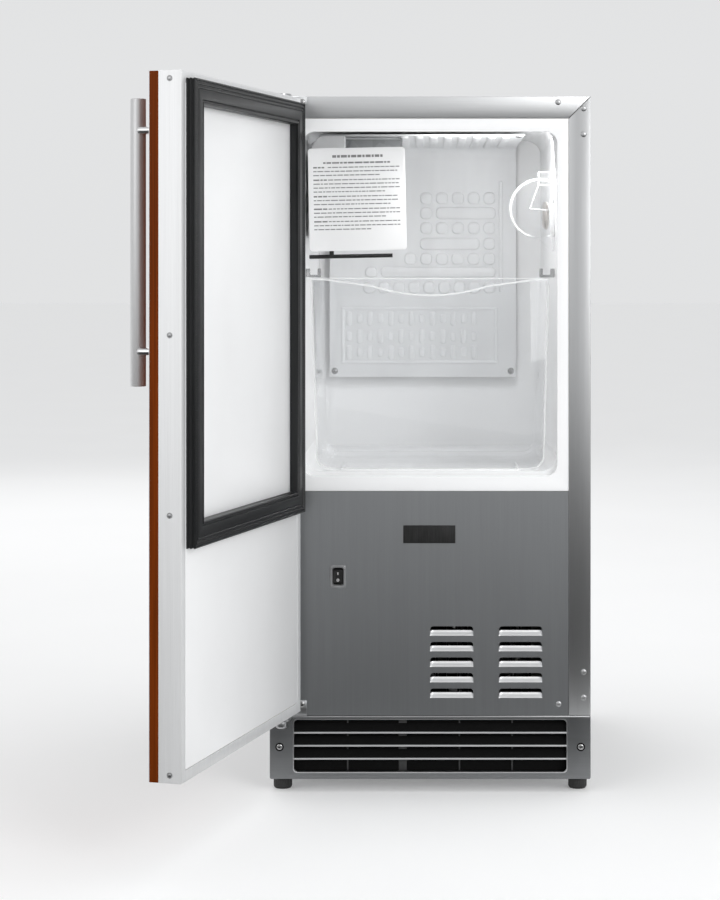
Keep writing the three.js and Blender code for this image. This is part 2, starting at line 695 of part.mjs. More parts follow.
function ejectorRake() {
  const start = housingRight + GAP;
  const shaft = alongX(circle(0, 0, shaftRadius), start, moldRight + 3);
  const fingers = [];
  for (let i = 0; i < CELLS; i += 1) {
    const x = moldLeft + 0.75 + (i + 0.5) * CELL_PITCH;
    fingers.push(box(x - 2.5, x + 2.5, 0, CELL_RADIUS - 1, -1.8, 1.8));
  }
  const mesh = piece('ejector_rake', join(shaft, ...fingers), blackPlastic);
  mesh.position.set(0, ejectorY, ejectorZ);
  return mesh;
}

function moduleBracket() {
  const back = ejectorY + CELL_RADIUS + 4 + GAP;
  const plate = box(moldLeft, moldRight, back, back + 2, ejectorZ - 20, plateTop - 4);
  const flange = box(moldLeft, moldRight, back, back + 22, plateTop - 6, plateTop - 4);
  return piece('module_bracket', join(plate, flange), zinc);
}

// The rounded cup over the housing that catches the water from the fill tube; it is open at the back.
function fillCup() {
  const left = housingLeft + 4;
  const right = left + 40;
  const low = housingTop + GAP;
  const high = plateTop - 4;
  const front = housingFront + 4;
  const cupShape = (inset) => {
    const radius = Math.min(18, high - low) - inset;
    const shape = new THREE.Shape();
    shape.moveTo(left + inset, low + inset);
    shape.lineTo(right - inset, low + inset);
    shape.lineTo(right - inset, high - inset);
    shape.lineTo(left + inset + radius, high - inset);
    shape.absarc(left + inset + radius, high - inset - radius, radius, Math.PI / 2, Math.PI);
    shape.closePath();
    return shape;
  };
  const outer = alongY(cupShape(0), front, front + 40);
  const inner = alongY(cupShape(2), front + 2, front + 41);
  return piece('fill_cup', cut(outer, inner), whitePlastic);
}

const tubeX = -mouthHalf + 8;
const tubeZ = plateTop - 13;

function fillTube() {
  const ring = circle(tubeX, tubeZ, 4);
  ring.holes.push(new THREE.Path().absarc(tubeX, tubeZ, 2.8, 0, Math.PI * 2));
  return piece('fill_tube', alongY(ring, housingFront + 46, linerBack - GAP), whitePlastic);
}

// A bail that hangs from the housing's ear: hub, lever and a bar across the module's width.
function shutoffArm() {
  const hubLeft = housingRight + GAP;
  const drop = armPivotZ - armBarZ;
  const hub = alongX(circle(0, 0, 5), hubLeft, hubLeft + 5);
  const lever = box(hubLeft, hubLeft + 5, -2.2, 2.2, -drop, 0);
  const barLength = MODULE_WIDTH - 16;
  const bar = new THREE.CylinderGeometry(armRadius, armRadius, barLength, 12)
    .rotateZ(Math.PI / 2)
    .rotateY(COVER_ROLL)
    .translate(moduleLeft + barLength / 2, 0, -drop);
  const mesh = piece('shutoff_arm', join(hub, lever, bar), blackPlastic);
  mesh.position.set(0, armPivotY, armPivotZ);
  return mesh;
}

// ---------------------------------------------------------------- machine compartment

const fanX = railInner - FAN_FROM_RAIL;
const condenserHalf = FAN_RADIUS + 12;
const compressorX = -side + COMPRESSOR_INSET;
const compressorY = DEPTH - COMPRESSOR_SETBACK;

function compressor() {
  const r = COMPRESSOR_RADIUS;
  const body = turned([
    [0, 8], [r - 14, 8], [r, 26], [r, 84], [r + 3, 84], [r + 3, 90], [r, 90], [r, 118], [r - 20, 146],
    [0, 156],
  ], 32);
  const feet = box(-r - 8, r + 8, -r * 0.7, r * 0.7, 3, 10);
  const mesh = piece('compressor', join(body, feet), blackPaint);
  mesh.position.set(compressorX, compressorY, basePanTop);
  return mesh;
}

function relayBox() {
  const left = compressorX + COMPRESSOR_RADIUS + 4;
  return piece('relay_box', alongZ(
    rect(left, left + 30, compressorY - 32, compressorY + 32, 4), basePanTop + 50, basePanTop + 110),
  blackPlastic);
}

// Flat fins between two end plates, with the tubes running across through them.
function condenser() {
  const left = fanX - condenserHalf;
  const right = fanX + condenserHalf;
  const back = FAN_Y - CONDENSER_SET;
  const front = back - CONDENSER_DEPTH;
  const low = FAN_Z - CONDENSER_HALF_HEIGHT;
  const high = FAN_Z + CONDENSER_HALF_HEIGHT;
  const fin = (x) => box(x, x + FIN_THICKNESS, front, back, low, high);
  const fins = [];
  for (let x = left + FIN_PITCH - 1; x < right - 4; x += FIN_PITCH) fins.push(fin(x));
  const tubes = [];
  for (let i = 0; i < CONDENSER_TUBES; i += 1) {
    const z = FAN_Z + (i - (CONDENSER_TUBES - 1) / 2) * 40;
    tubes.push(box(left + 1, right - 1, front + 14, front + 24, z - 4, z + 4));
  }
  return piece('condenser', join(fin(left), fin(right - FIN_THICKNESS), ...fins, ...tubes), aluminium);
}

function fanShroud() {
  const rise = FAN_RADIUS + 17;
  const plate = alongY(
    rect(fanX - condenserHalf, fanX + condenserHalf, FAN_Z - rise, FAN_Z + rise, 6), FAN_Y - 28, FAN_Y + 8);
  const hole = alongY(circle(fanX, FAN_Z, FAN_RADIUS + 4), FAN_Y - 30, FAN_Y + 10, 16);
  return piece('fan_shroud', cut(plate, hole), blackPlastic);
}

function fanMotor() {
  const armFront = FAN_Y + 20;
  const armBack = armFront + 4;
  const can = alongY(circle(fanX, FAN_Z, 26), FAN_Y + 14, FAN_Y + 58, 8);
  const armReach = condenserHalf + 2;
  const arms = box(fanX - armReach, fanX + armReach, armFront, armBack, FAN_Z - 6, FAN_Z + 6);
  const leg = box(fanX - 12, fanX + 12, armFront, armBack, basePanTop + GAP, FAN_Z);
  return piece('fan_motor', join(can, arms, leg), blackPaint);
}

function fanBlade() {
  const hub = alongY(circle(0, 0, 14), -10, 13, 8);
  const blades = [];
  for (let i = 0; i < FAN_BLADES; i += 1) {
    blades.push(box(-11, 11, -1.2, 1.2, 8, FAN_RADIUS)
      .rotateZ(BLADE_PITCH)
      .rotateY(i * Math.PI * 2 / FAN_BLADES));
  }
  const mesh = piece('fan_blade', join(hub, ...blades), blackPlastic);
  mesh.position.set(fanX, FAN_Y, FAN_Z);
  return mesh;
}

function dripTray() {
  const low = basePanTop + TRAY_RISE;
  const wall = TRAY_WALL;
  const tray = (inset, z0, z1) => {
    const r = COMPRESSOR_RADIUS + 6 - inset;
    return alongZ(
      rect(compressorX - r, compressorX + r, compressorY - r, compressorY + r, 10 - inset), z0, z1);
  };
  return piece('drip_tray', cut(tray(0, low, low + TRAY_DEPTH), tray(wall, low + wall, low + TRAY_DEPTH + 1)),
    blackPlastic);
}

function waterValve() {
  const body = box(valveX - 18, valveX + 18, backFace - 52, backFace - 12, valveZ - 16, valveZ + 16);
  const coil = alongZ(circle(valveX, backFace - 32, 15), valveZ + 10, valveZ + 50, 8);
  const inlet = alongY(circle(valveX, valveZ, valvePipe), backFace - 14, DEPTH + 12, 8);
  const bore = alongY(circle(valveX, valveZ, valvePipe - 4), DEPTH - 8, DEPTH + 13, 8);
  return piece('water_valve', cut(join(body, coil, inlet), bore), whitePlastic);
}

function filterDrier() {
  const profile = [[0, -60], [3, -60], [3, -48], [11, -38], [11, 38], [3, 48], [3, 60], [0, 60]];
  const mesh = piece('filter_drier', turned(profile, 16).rotateY(Math.PI / 2), copper);
  mesh.position.set(-side + 80, FAN_Y - 30, basePanTop + 30);
  return mesh;
}

function powerInlet() {
  const nut = alongY(circle(glandX, glandZ, glandRadius), DEPTH + GAP, DEPTH + 7, 3);
  const neck = alongY(circle(glandX, glandZ, glandRadius - 2), backFace - 14, DEPTH + 11, 8);
  const bore = alongY(circle(glandX, glandZ, glandRadius - 5), backFace - 15, DEPTH + 12, 8);
  return piece('power_inlet', cut(join(nut, neck), bore), blackPlastic);
}

// ---------------------------------------------------------------- hinges

const topArm = HEIGHT - BRACKET_ARM + 0.2;
const bottomArm = kickTop + GAP;

// The upright plate is screwed to the frame and the arm reaches forward over or under the door.
function hingeBracket(name, armLow, legs) {
  const uprights = legs.map(([x0, x1, z0, z1]) => box(x0, x1, -GAP - BRACKET_FACE, -GAP, z0, z1));
  const tongue = new THREE.Shape();
  tongue.moveTo(-side + 2, -GAP);
  tongue.lineTo(-side + 2, pinY);
  tongue.absarc(pinX, pinY, BRACKET_ARM_HALF, Math.PI, Math.PI * 2);
  tongue.lineTo(pinX + BRACKET_ARM_HALF, -GAP);
  tongue.closePath();
  const arm = alongZ(tongue, armLow, armLow + BRACKET_ARM, 8);
  const bore = alongZ(circle(pinX, pinY, PIN_RADIUS + GAP), armLow - 1, armLow + BRACKET_ARM + 1, 5);
  return piece(name, cut(join(arm, ...uprights), bore), steel);
}

function topBracket() {
  const low = HEIGHT - 10.3;
  return hingeBracket('hinge_bracket_top', topArm, [
    [-side, -side + BRACKET_WIDTH, low, HEIGHT], [-side, -side + BRACKET_LEG, low - 44, low + 1],
  ]);
}

function bottomBracket() {
  const low = bottomArm;
  return hingeBracket('hinge_bracket_bottom', low, [
    [-side, -side + BRACKET_WIDTH, low, low + 18], [-side, -side + BRACKET_LEG, low, low + 58],
  ]);
}

function hingePinTop() {
  const low = doorTop - DOOR_FLANGE + 1;
  const profile = [[0, low], [PIN_RADIUS, low], [PIN_RADIUS, HEIGHT], [0, HEIGHT]];
  const mesh = piece('hinge_pin_top', turned(profile, 20), zinc);
  mesh.position.set(pinX, pinY, 0);
  return mesh;
}

// The lower pin is a headed screw, put in from below the arm.
function hingePinBottom() {
  const head = bottomArm - GAP;
  const high = DOOR_BOTTOM + DOOR_FLANGE - 1;
  const profile = [
    [0, head - 8.7], [5, head - 8.7], [7, head - 6.7], [7, head], [PIN_RADIUS, head],
    [PIN_RADIUS, high], [0, high],
  ];
  const mesh = piece('hinge_pin_bottom', turned(profile, 20), zinc);
  mesh.position.set(pinX, pinY, 0);
  return mesh;
}

// A nylon bush in the door: a collar that bears on the bracket and a sleeve round the pin.
const bushRadius = 5.5;
const collarRadius = 7.5;

function bushing(name, sleeveEnd, doorEdge, bearing) {
  const bore = PIN_RADIUS + 0.25;
  const profile = [
    [bore, sleeveEnd], [bushRadius, sleeveEnd], [bushRadius, doorEdge], [collarRadius, doorEdge],
    [collarRadius, bearing], [bore, bearing], [bore, sleeveEnd],
  ];
  if (bearing < sleeveEnd) profile.reverse();
  return piece(name, turned(profile, 20).translate(pinX, pinY, 0), whitePlastic);
}

// ---------------------------------------------------------------- door, drawn closed

const linerPanel = 2;

// A block over the door's outline, from y0 to y1, drawn in by an inset on all four edges.
function doorBlock(inset, y0, y1) {
  return box(-side + inset, side - inset, y0, y1, DOOR_BOTTOM + inset, doorTop - inset);
}

function bushBores() {
  const round = circle(pinX, pinY, bushRadius + GAP);
  return [
    alongZ(round, DOOR_BOTTOM - 1, DOOR_BOTTOM + DOOR_FLANGE),
    alongZ(round, doorTop - DOOR_FLANGE, doorTop + 1),
  ];
}

// A folded channel round the door: an outer web with a flange at the front and one at the back.
function doorFrame() {
  return piece('door_frame', cut(
    doorBlock(0, doorFront, doorInner),
    doorBlock(DOOR_FLANGE, doorFront - 1, doorInner + 1),
    doorBlock(SHEET, doorFront + SHEET, doorInner - SHEET),
    ...bushBores()), steel);
}

function doorFoam() {
  const block = doorBlock(SHEET + GAP, doorFront + SHEET + GAP, doorInner - linerPanel - GAP);
  return piece('door_foam', cut(block, ...bushBores()), foam);
}

function doorLiner() {
  return piece(
    'door_liner', doorBlock(DOOR_FLANGE + GAP, doorInner - linerPanel, doorInner), whitePlastic);
}

function doorGasket() {
  const half = side - GASKET_INSET;
  const high = doorTop - GASKET_TOP_INSET;
  const low = mouthBottom - GASKET_BELOW_MOUTH;
  const outer = rect(-half, half, low, high, 3);
  outer.holes.push(rect(
    -half + GASKET_WIDTH, half - GASKET_WIDTH, low + GASKET_WIDTH, high - GASKET_WIDTH, 2));
  const crest = -GASKET_CLEARANCE;
  return piece('door_gasket', alongY(outer, doorInner + GAP, crest, 3), rubber);
}

function woodPanel() {
  return piece('wood_panel', doorBlock(0, woodFront, doorFront - GAP), wood);
}

const handleX = side - HANDLE_EDGE;
const handleY = woodFront - HANDLE_STANDOFF;
const handleTop = doorTop - HANDLE_TOP_DROP;

function handleBar() {
  const edge = 1.2;
  const low = handleTop - HANDLE_LENGTH;
  const profile = [
    [0, low], [HANDLE_RADIUS - edge, low], [HANDLE_RADIUS, low + edge],
    [HANDLE_RADIUS, handleTop - edge], [HANDLE_RADIUS - edge, handleTop], [0, handleTop],
  ];
  const mesh = piece('handle_bar', turned(profile, 28), steel);
  mesh.position.set(handleX, handleY, 0);
  return mesh;
}

function handlePost(name, z) {
  const post = alongY(circle(handleX, z, POST_RADIUS), handleY, woodFront - GAP, 8);
  const seat = alongZ(circle(handleX, handleY, HANDLE_RADIUS + GAP), z - 10, z + 10, 14);
  return piece(name, cut(post, seat), steel);
}

function door() {
  const drawnClosed = new THREE.Group();
  drawnClosed.position.set(-pinX, -pinY, 0);
  const upperPost = handleTop - POST_DROP;
  drawnClosed.add(
    doorFrame(), doorFoam(), doorLiner(), doorGasket(), woodPanel(), handleBar(),
    handlePost('handle_post_upper', upperPost),
    handlePost('handle_post_lower', upperPost - POST_SPACING),
    bushing('hinge_bush_bottom', DOOR_BOTTOM + DOOR_FLANGE - 1, DOOR_BOTTOM - GAP,
      bottomArm + BRACKET_ARM + GAP),
    bushing('hinge_bush_top', doorTop - DOOR_FLANGE + 1, doorTop + GAP, topArm - GAP),
  );
  const swung = new THREE.Group();
  swung.position.set(pinX, pinY, 0);
  swung.rotation.z = -DOOR_OPEN;
  swung.add(drawnClosed);
  return swung;
}

// ---------------------------------------------------------------- the whole machine

const group = new THREE.Group();
group.add(
  cabinetShell(), backPanel(), rearCover(), basePan(), foamCore(), liner(),
  topRail(), sideRail('left_rail', -1), sideRail('right_rail', 1),
  frontPanel(), nameBadge(), switchBezel(), rocker(),
  kickPlate(), kickScrew('kick_screw_left', -kickScrewX), kickScrew('kick_screw_right', kickScrewX),
  evaporatorPlate(), iceBin(), binClip('bin_clip_left', -1), binClip('bin_clip_right', 1),
  thermostatGuard(), thermostatBulb(),
  icemakerCover(), icemakerHousing(), icemakerMold(), stripperComb(), ejectorRake(), moduleBracket(),
  fillCup(), fillTube(), shutoffArm(),
  compressor(), relayBox(), condenser(), fanShroud(), fanMotor(), fanBlade(), dripTray(),
  waterValve(), filterDrier(), powerInlet(),
  topBracket(), bottomBracket(), hingePinTop(), hingePinBottom(),
  door(),
);
for (const [name, place] of Object.entries(footPlaces)) group.add(foot(name, place));

group.updateMatrixWorld(true);
const whole = new THREE.Box3().setFromObject(group, true);
const middle = whole.getCenter(new THREE.Vector3());
group.position.set(-middle.x, -middle.y, -whole.min.z);

export default group;
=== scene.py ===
import json
import random
from math import cos, hypot, pi, radians, sin

import bmesh
import bpy
from mathutils import Matrix, Vector


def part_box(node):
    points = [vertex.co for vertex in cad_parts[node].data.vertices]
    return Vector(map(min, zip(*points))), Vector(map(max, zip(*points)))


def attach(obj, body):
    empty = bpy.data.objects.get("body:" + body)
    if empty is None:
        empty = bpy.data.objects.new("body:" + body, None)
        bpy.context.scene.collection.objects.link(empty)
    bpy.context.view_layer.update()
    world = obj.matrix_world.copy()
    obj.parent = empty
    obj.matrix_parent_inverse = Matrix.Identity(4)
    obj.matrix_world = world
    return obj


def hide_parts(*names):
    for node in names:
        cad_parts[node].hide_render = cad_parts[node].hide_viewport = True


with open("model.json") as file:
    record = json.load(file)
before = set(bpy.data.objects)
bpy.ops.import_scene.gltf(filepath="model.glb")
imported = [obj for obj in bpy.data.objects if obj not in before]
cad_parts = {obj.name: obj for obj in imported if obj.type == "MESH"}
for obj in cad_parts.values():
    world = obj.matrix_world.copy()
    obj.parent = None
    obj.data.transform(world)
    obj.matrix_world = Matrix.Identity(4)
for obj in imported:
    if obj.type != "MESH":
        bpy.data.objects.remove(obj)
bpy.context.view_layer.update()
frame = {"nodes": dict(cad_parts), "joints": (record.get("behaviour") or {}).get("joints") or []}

# ----------------------------------------------------------
# The view: a long lens level with the middle of the cold compartment, in front of the machine's middle.
# Distances are from the middle of the front frame's face.

top_low, top_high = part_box("top_rail")
middle = (top_low.x + top_high.x) / 2
face = top_low.y
eye_height = 0.6124
eye_distance = 2.575

lens = bpy.data.cameras.new("camera")
lens.lens = 87.5
lens.shift_x = -0.078
lens.shift_y = -0.198
camera = bpy.data.objects.new("camera", lens)
camera.location = (middle, face - eye_distance, eye_height)
camera.rotation_euler = (pi / 2, 0, 0)
bpy.context.scene.collection.objects.link(camera)
bpy.context.scene.camera = camera
bpy.context.scene.view_settings.view_transform = "Standard"


# ----------------------------------------------------------
# The studio: a plain pale floor, a soft grey surround that is lighter overhead, and four large softboxes.
# The floor is matt paint that glows very faintly, so that its far edge runs into the surround.

class Channel:
    """A number that varies over a surface. Arithmetic on it adds the material's math nodes."""

    def __init__(self, finish, socket):
        self.finish = finish
        self.socket = socket

    def math(self, operation, *values):
        made = self.finish.node("ShaderNodeMath", {"operation": operation}, dict(enumerate(values)))
        return Channel(self.finish, made.outputs[0])

    def __add__(self, other):
        return self.math("ADD", self, other)

    def __mul__(self, other):
        return self.math("MULTIPLY", self, other)


class Finish:
    """One material: its principled shader and the nodes that vary it over a surface."""

    def __init__(self, name, fixed, block=None):
        self.block = block or bpy.data.materials.new(name)
        self.block.use_nodes = True
        self.tree = self.block.node_tree
        self.shader = self.tree.nodes.get("Principled BSDF")
        for socket, value in fixed.items():
            self.shader.inputs[socket].default_value = value

    def node(self, kind, settings, inputs):
        made = self.tree.nodes.new(kind)
        for setting, value in settings.items():
            if setting == "stops":
                ramp = made.color_ramp
                while len(ramp.elements) < len(value):
                    ramp.elements.new(1)
                for element, (place, colour) in zip(ramp.elements, value):
                    element.position = place
                    element.color = colour
            else:
                setattr(made, setting, value)
        for socket, value in inputs.items():
            self.feed(made.inputs[socket], value)
        return made

    def feed(self, socket, value):
        if isinstance(value, Channel):
            value = value.socket
        if isinstance(value, bpy.types.NodeSocket):
            self.tree.links.new(value, socket)
        else:
            socket.default_value = value

    def vary(self, socket, value):
        self.feed(self.shader.inputs[socket], value)

    def place(self, turn=0.0):
        """The object's own coordinates, turned about the upright axis."""
        made = self.node("ShaderNodeTexCoord", {}, {})
        return self.node(
            "ShaderNodeMapping", {}, {"Vector": made.outputs["Object"], "Rotation": (0, 0, turn)}
        ).outputs[0]

    def noise(self, scale, detail=3.0, turn=0.0, start=(0, 0, 0)):
        """Noise with its scale in features a metre: one number, or one for each axis."""
        if not isinstance(scale, (tuple, list)):
            scale = (scale, scale, scale)
        stretched = self.node("ShaderNodeMapping", {}, {
            "Vector": self.place(turn), "Scale": scale, "Location": start})
        made = self.node("ShaderNodeTexNoise", {}, {
            "Vector": stretched.outputs[0], "Scale": 1.0, "Detail": detail})
        return Channel(self, made.outputs["Fac"])

    def ramp(self, value, *stops):
        made = self.node("ShaderNodeValToRGB", {"stops": stops}, {"Fac": value})
        return made.outputs["Color"]

    def bump(self, height, distance, strength=1.0):
        made = self.node("ShaderNodeBump", {}, {
            "Height": height, "Distance": distance, "Strength": strength})
        self.vary("Normal", made.outputs["Normal"])


def grey(value, blue=0.0):
    return (value, value * (1 + blue / 2), value * (1 + blue), 1)


def mottled(name, fixed, scale, dark, light, share=(0.3, 0.7), grain=None):
    """A material whose colour wanders between two near tones, in patches of a set scale.

    A grain is its fine relief: the scale, the depth and the strength of the bumps."""
    made = Finish(name, fixed)
    made.vary("Base Color", made.ramp(made.noise(scale), (share[0], dark), (share[1], light)))
    if grain:
        made.bump(made.noise(grain[0]), *grain[1:])
    return made


floor_finish = mottled(
    "studio_floor",
    {"Roughness": 0.8, "Specular IOR Level": 0.0, "Emission Color": grey(1.0), "Emission Strength": 0.17}, 3,
    grey(0.84, 0.005), grey(0.86, 0.005))

floor_half = 40
floor_mesh = bmesh.new()
bmesh.ops.create_grid(floor_mesh, x_segments=1, y_segments=1, size=floor_half)
floor_data = bpy.data.meshes.new("floor")
floor_mesh.to_mesh(floor_data)
floor_mesh.free()
floor_data.materials.append(floor_finish.block)
floor = bpy.data.objects.new("floor", floor_data)
bpy.context.scene.collection.objects.link(floor)

surround = bpy.data.worlds.new("studio")
bpy.context.scene.world = surround
sky = Finish("studio", {}, surround)
sky_place = sky.node("ShaderNodeTexCoord", {}, {}).outputs["Generated"]
sky_height = sky.node("ShaderNodeSeparateXYZ", {}, {0: sky_place}).outputs["Z"]
sky.feed(sky.tree.nodes["Background"].inputs["Color"], sky.ramp(
    sky_height, (0.0, grey(0.76, 0.015)), (0.09, grey(0.77, 0.015)), (1.0, grey(0.62, 0.015))))
sky.tree.nodes["Background"].inputs["Strength"].default_value = 1.0


def softbox(name, place, aim, size, watts):
    """A square area light at a place, facing the point that it is aimed at."""
    lamp = bpy.data.lights.new(name, "AREA")
    lamp.size = size
    lamp.energy = watts
    holder = bpy.data.objects.new(name, lamp)
    holder.location = place
    facing = Vector(aim) - Vector(place)
    holder.rotation_euler = facing.to_track_quat("-Z", "Y").to_euler()
    bpy.context.scene.collection.objects.link(holder)
    return holder


def unseen(made, *rays):
    """Hides an object from some kinds of ray."""
    for ray in rays:
        setattr(made, "visible_" + ray, False)


softbox("key_light", (1.9, -2.9, 1.6), (0.0, 0.3, 0.6), 1.6, 38)
softbox("fill_light", (-2.2, -2.6, 1.6), (0, 0, 0.45), 1.8, 12)
softbox("top_light", (0.1, 0.3, 3.0), (0.1, 0.1, 0), 2.4, 14)
softbox("rear_light", (-1.2, 3.2, 2.2), (0, 0.2, 0.4), 2.0, 16)
cavity_light = softbox("cavity_light", (middle + 0.075, face + 0.075, 0.770),
                       (middle + 0.03, face + 0.36, 0.44), 0.15, 0.68)
unseen(cavity_light, "camera", "glossy")

# A dark card on the floor in front, that only mirrors see: low steel faces pick it up and go dark downwards.
flag = bpy.data.objects.new("flag", floor_data.copy())
flag_finish = Finish("flag_card", {"Base Color": grey(0.03), "Roughness": 0.8, "Specular IOR Level": 0.0})
flag.data.materials[0] = flag_finish.block
flag_middle = (middle + 0.2, -1.42, 0.004)
flag_half = (2.8, 1.24)
flag_scale = Matrix.Diagonal((flag_half[0] / floor_half, flag_half[1] / floor_half, 1, 1))
flag.data.transform(Matrix.Translation(flag_middle) @ flag_scale)
bpy.context.scene.collection.objects.link(flag)
unseen(flag, "camera", "diffuse", "shadow", "transmission")


# ----------------------------------------------------------
# Front frame: three flat brushed-steel rails, mitred at the top corners, edges broken. The grain runs
# along each rail. The right rail's spare hinge holes are closed by domed steel plugs pressed in.

def soften(bm, edges, width, steps=2):
    """Rounds edges off."""
    bmesh.ops.bevel(bm, geom=edges, offset=width, offset_type="OFFSET", affect="EDGES", segments=steps,
                    profile=0.5, material=-1, clamp_overlap=True)


def moved(bm, matrix, kept=()):
    """Moves all of a bmesh's points, apart from those that are kept where they are."""
    bmesh.ops.transform(bm, matrix=matrix, verts=[v for v in bm.verts if v not in kept])


def sliced(bm, place, facing, clear=False):
    """Cuts a bmesh along a plane, and clears what lies in front of the plane if asked to."""
    bmesh.ops.bisect_plane(bm, geom=bm.verts[:] + bm.edges[:] + bm.faces[:], plane_co=place, plane_no=facing,
                           clear_outer=clear)


def block(bm, low, high, edge=0.0, steps=2):
    """A box between two corners, its edges rounded."""
    low, high = Vector(low), Vector(high)
    size = high - low
    place = Matrix.Translation((low + high) / 2) @ Matrix.Diagonal((*size, 1))
    made = bmesh.ops.create_cube(bm, size=1, matrix=place)["verts"]
    if edge:
        edges = list({e for v in made for e in v.link_edges})
        soften(bm, edges, edge, steps)


def rod(bm, start, end, radius, edge=0.0, sides=32, tip=None):
    """A round bar between two points, the rims of its ends rounded. A tip radius makes it a taper."""
    start, end = Vector(start), Vector(end)
    along = end - start
    place = Matrix.Translation((start + end) / 2) @ along.to_track_quat("Z", "Y").to_matrix().to_4x4()
    made = bmesh.ops.create_cone(
        bm, cap_ends=True, cap_tris=False, segments=sides, radius1=radius,
        radius2=radius if tip is None else tip, depth=along.length, matrix=place)["verts"]
    if edge:
        caps = {f for v in made for f in v.link_faces if len(f.verts) == sides}
        rims = list({e for f in caps for e in f.edges})
        soften(bm, rims, edge, 3)


def dome(bm, centre, radius, rise, facing=(0, -1, 0)):
    """A low button, round side outwards, sunk by half into the face that it sits on."""
    turn = Vector(facing).to_track_quat("Z", "Y").to_matrix().to_4x4()
    place = Matrix.Translation(centre) @ turn @ Matrix.Diagonal((radius, radius, rise, 1))
    bmesh.ops.create_uvsphere(bm, u_segments=24, v_segments=12, radius=1, matrix=place)


def copied(node, edge, steps=2, sharp=30):
    """A bmesh of a frame node with its flat faces whole again and its sharp edges rounded."""
    bm = bmesh.new()
    bm.from_mesh(frame["nodes"][node].data)
    bmesh.ops.remove_doubles(bm, verts=bm.verts, dist=2e-6)
    bmesh.ops.dissolve_limit(bm, angle_limit=radians(0.6), verts=bm.verts, edges=bm.edges)
    edges = [e for e in bm.edges if e.is_manifold and e.calc_face_angle() > radians(sharp)]
    if edge:
        soften(bm, edges, edge, steps)
    return bm


def finished(name, bm, finish, body, stands_for=(), smooth=40, weld=1e-6):
    """Turns a bmesh into a finished piece that rides on a body, its round faces shaded smooth."""
    bmesh.ops.remove_doubles(bm, verts=bm.verts, dist=weld)
    bmesh.ops.dissolve_degenerate(bm, edges=bm.edges, dist=1e-7)
    bmesh.ops.recalc_face_normals(bm, faces=bm.faces)
    mesh = bpy.data.meshes.new(name)
    bm.to_mesh(mesh)
    bm.free()
    mesh.shade_smooth()
    mesh.set_sharp_from_angle(angle=radians(smooth))
    mesh.materials.append(finish.block)
    made = bpy.data.objects.new(name, mesh)
    bpy.context.scene.collection.objects.link(made)
    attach(made, body)
    if stands_for:
        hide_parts(*stands_for)
    return made


def extruded(bm, step):
    """Draws all of a bmesh's faces out along a step."""
    made = bmesh.ops.extrude_face_region(bm, geom=bm.faces[:])["geom"]
    bmesh.ops.translate(bm, vec=step, verts=[v for v in made if isinstance(v, bmesh.types.BMVert)])


def dressed(name, node, edge, finish, body, steps=2, smooth=40):
    """A piece with a frame node's own shape, its edges rounded, that stands for that node."""
    return finished(name, copied(node, edge, steps), finish, body, [node], smooth)


def brushed(name, colour, grain, roughness=0.3, turn=0.0, depth=0.00003, metal=1.0):
    """Stainless steel brushed along one axis: fine stretched scratches in tone, gloss and relief."""
    made = Finish(name, {"Metallic": metal})
    fine = [2600.0, 2600.0, 2600.0]
    fine[grain] = 14.0
    broad = [220.0, 220.0, 220.0]
    broad[grain] = 3.0
    scratch = made.noise(fine, 2.0, turn)
    streak = made.noise(broad, 3.0, turn)
    tone = scratch * 0.65 + streak * 0.35
    darker = [c * 0.94 for c in colour[:3]] + [1]
    lighter = [min(1, c * 1.05) for c in colour[:3]] + [1]
    made.vary("Base Color", made.ramp(tone, (0.3, darker), (0.7, lighter)))
    made.vary("Roughness", tone * 0.1 + (roughness - 0.05))
    made.bump(scratch, depth, 0.35)
    return made


# Painted light: the top rail's steel is given a lighter colour than the side rails' steel, though the frame
# is one steel.
steel_across_painted_light = brushed("brushed_steel_across_painted_light", grey(0.66, 0.02), 0, 0.4)
steel_upright = brushed("brushed_steel_upright", grey(0.56, 0.02), 2, 0.36)
rail_edge = 0.0006
dressed("top_rail_steel", "top_rail", rail_edge, steel_across_painted_light, "cabinet")
for rail in ("left_rail", "right_rail"):
    dressed(rail + "_steel", rail, rail_edge, steel_upright, "cabinet")

# Places of the hinge screws, and of the plugs opposite them: in from the cabinet's side, and down from its
# top or up from the kick plate's top.
upper_holes = ((0.0385, 0.0069), (0.0084, 0.0143), (0.0084, 0.0446))
lower_holes = ((0.0379, 0.0137), (0.0083, 0.0513), (0.0083, 0.0213))
side_right = top_high.x
side_left = top_low.x
kick_low, kick_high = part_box("kick_plate")
plug_radius = 0.0035
plug_rise = 0.0012
plugs = bmesh.new()
for inward, down in upper_holes:
    dome(plugs, (side_right - inward, face, top_high.z - down), plug_radius, plug_rise)
for inward, up in lower_holes:
    dome(plugs, (side_right - inward, face, kick_high.z + up), plug_radius, plug_rise)
plug_finish = brushed("plug_steel", grey(0.5, 0.02), 1, 0.4)
finished("hinge_hole_plugs", plugs, plug_finish, "cabinet")


# ----------------------------------------------------------
# Lower front panel: one sheet of brushed steel, screwed between the rails, its colour set darker than the
# rails' steel as painted shade. Ten louvres are pressed inwards, each a scoop below a round-cornered slot,
# the scoops given a near-white colour as a painted highlight.

panel_low, panel_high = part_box("front_panel")
bezel_low, bezel_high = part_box("switch_bezel")
sheet = 0.0012
slot_width = 0.0503
slot_height = 0.011
slot_lip = 0.0057
slot_corner = 0.0034
slot_pitch = 0.0183
slot_rows = 5
slot_column_pitch = 0.081
slot_last_column = panel_high.x - 0.0566
slot_columns = [slot_last_column - slot_column_pitch, slot_last_column]
slot_first = kick_high.z + 0.0264
scoop_depth = 0.0042
scoop_lap = 0.0006
switch_lap = 0.002

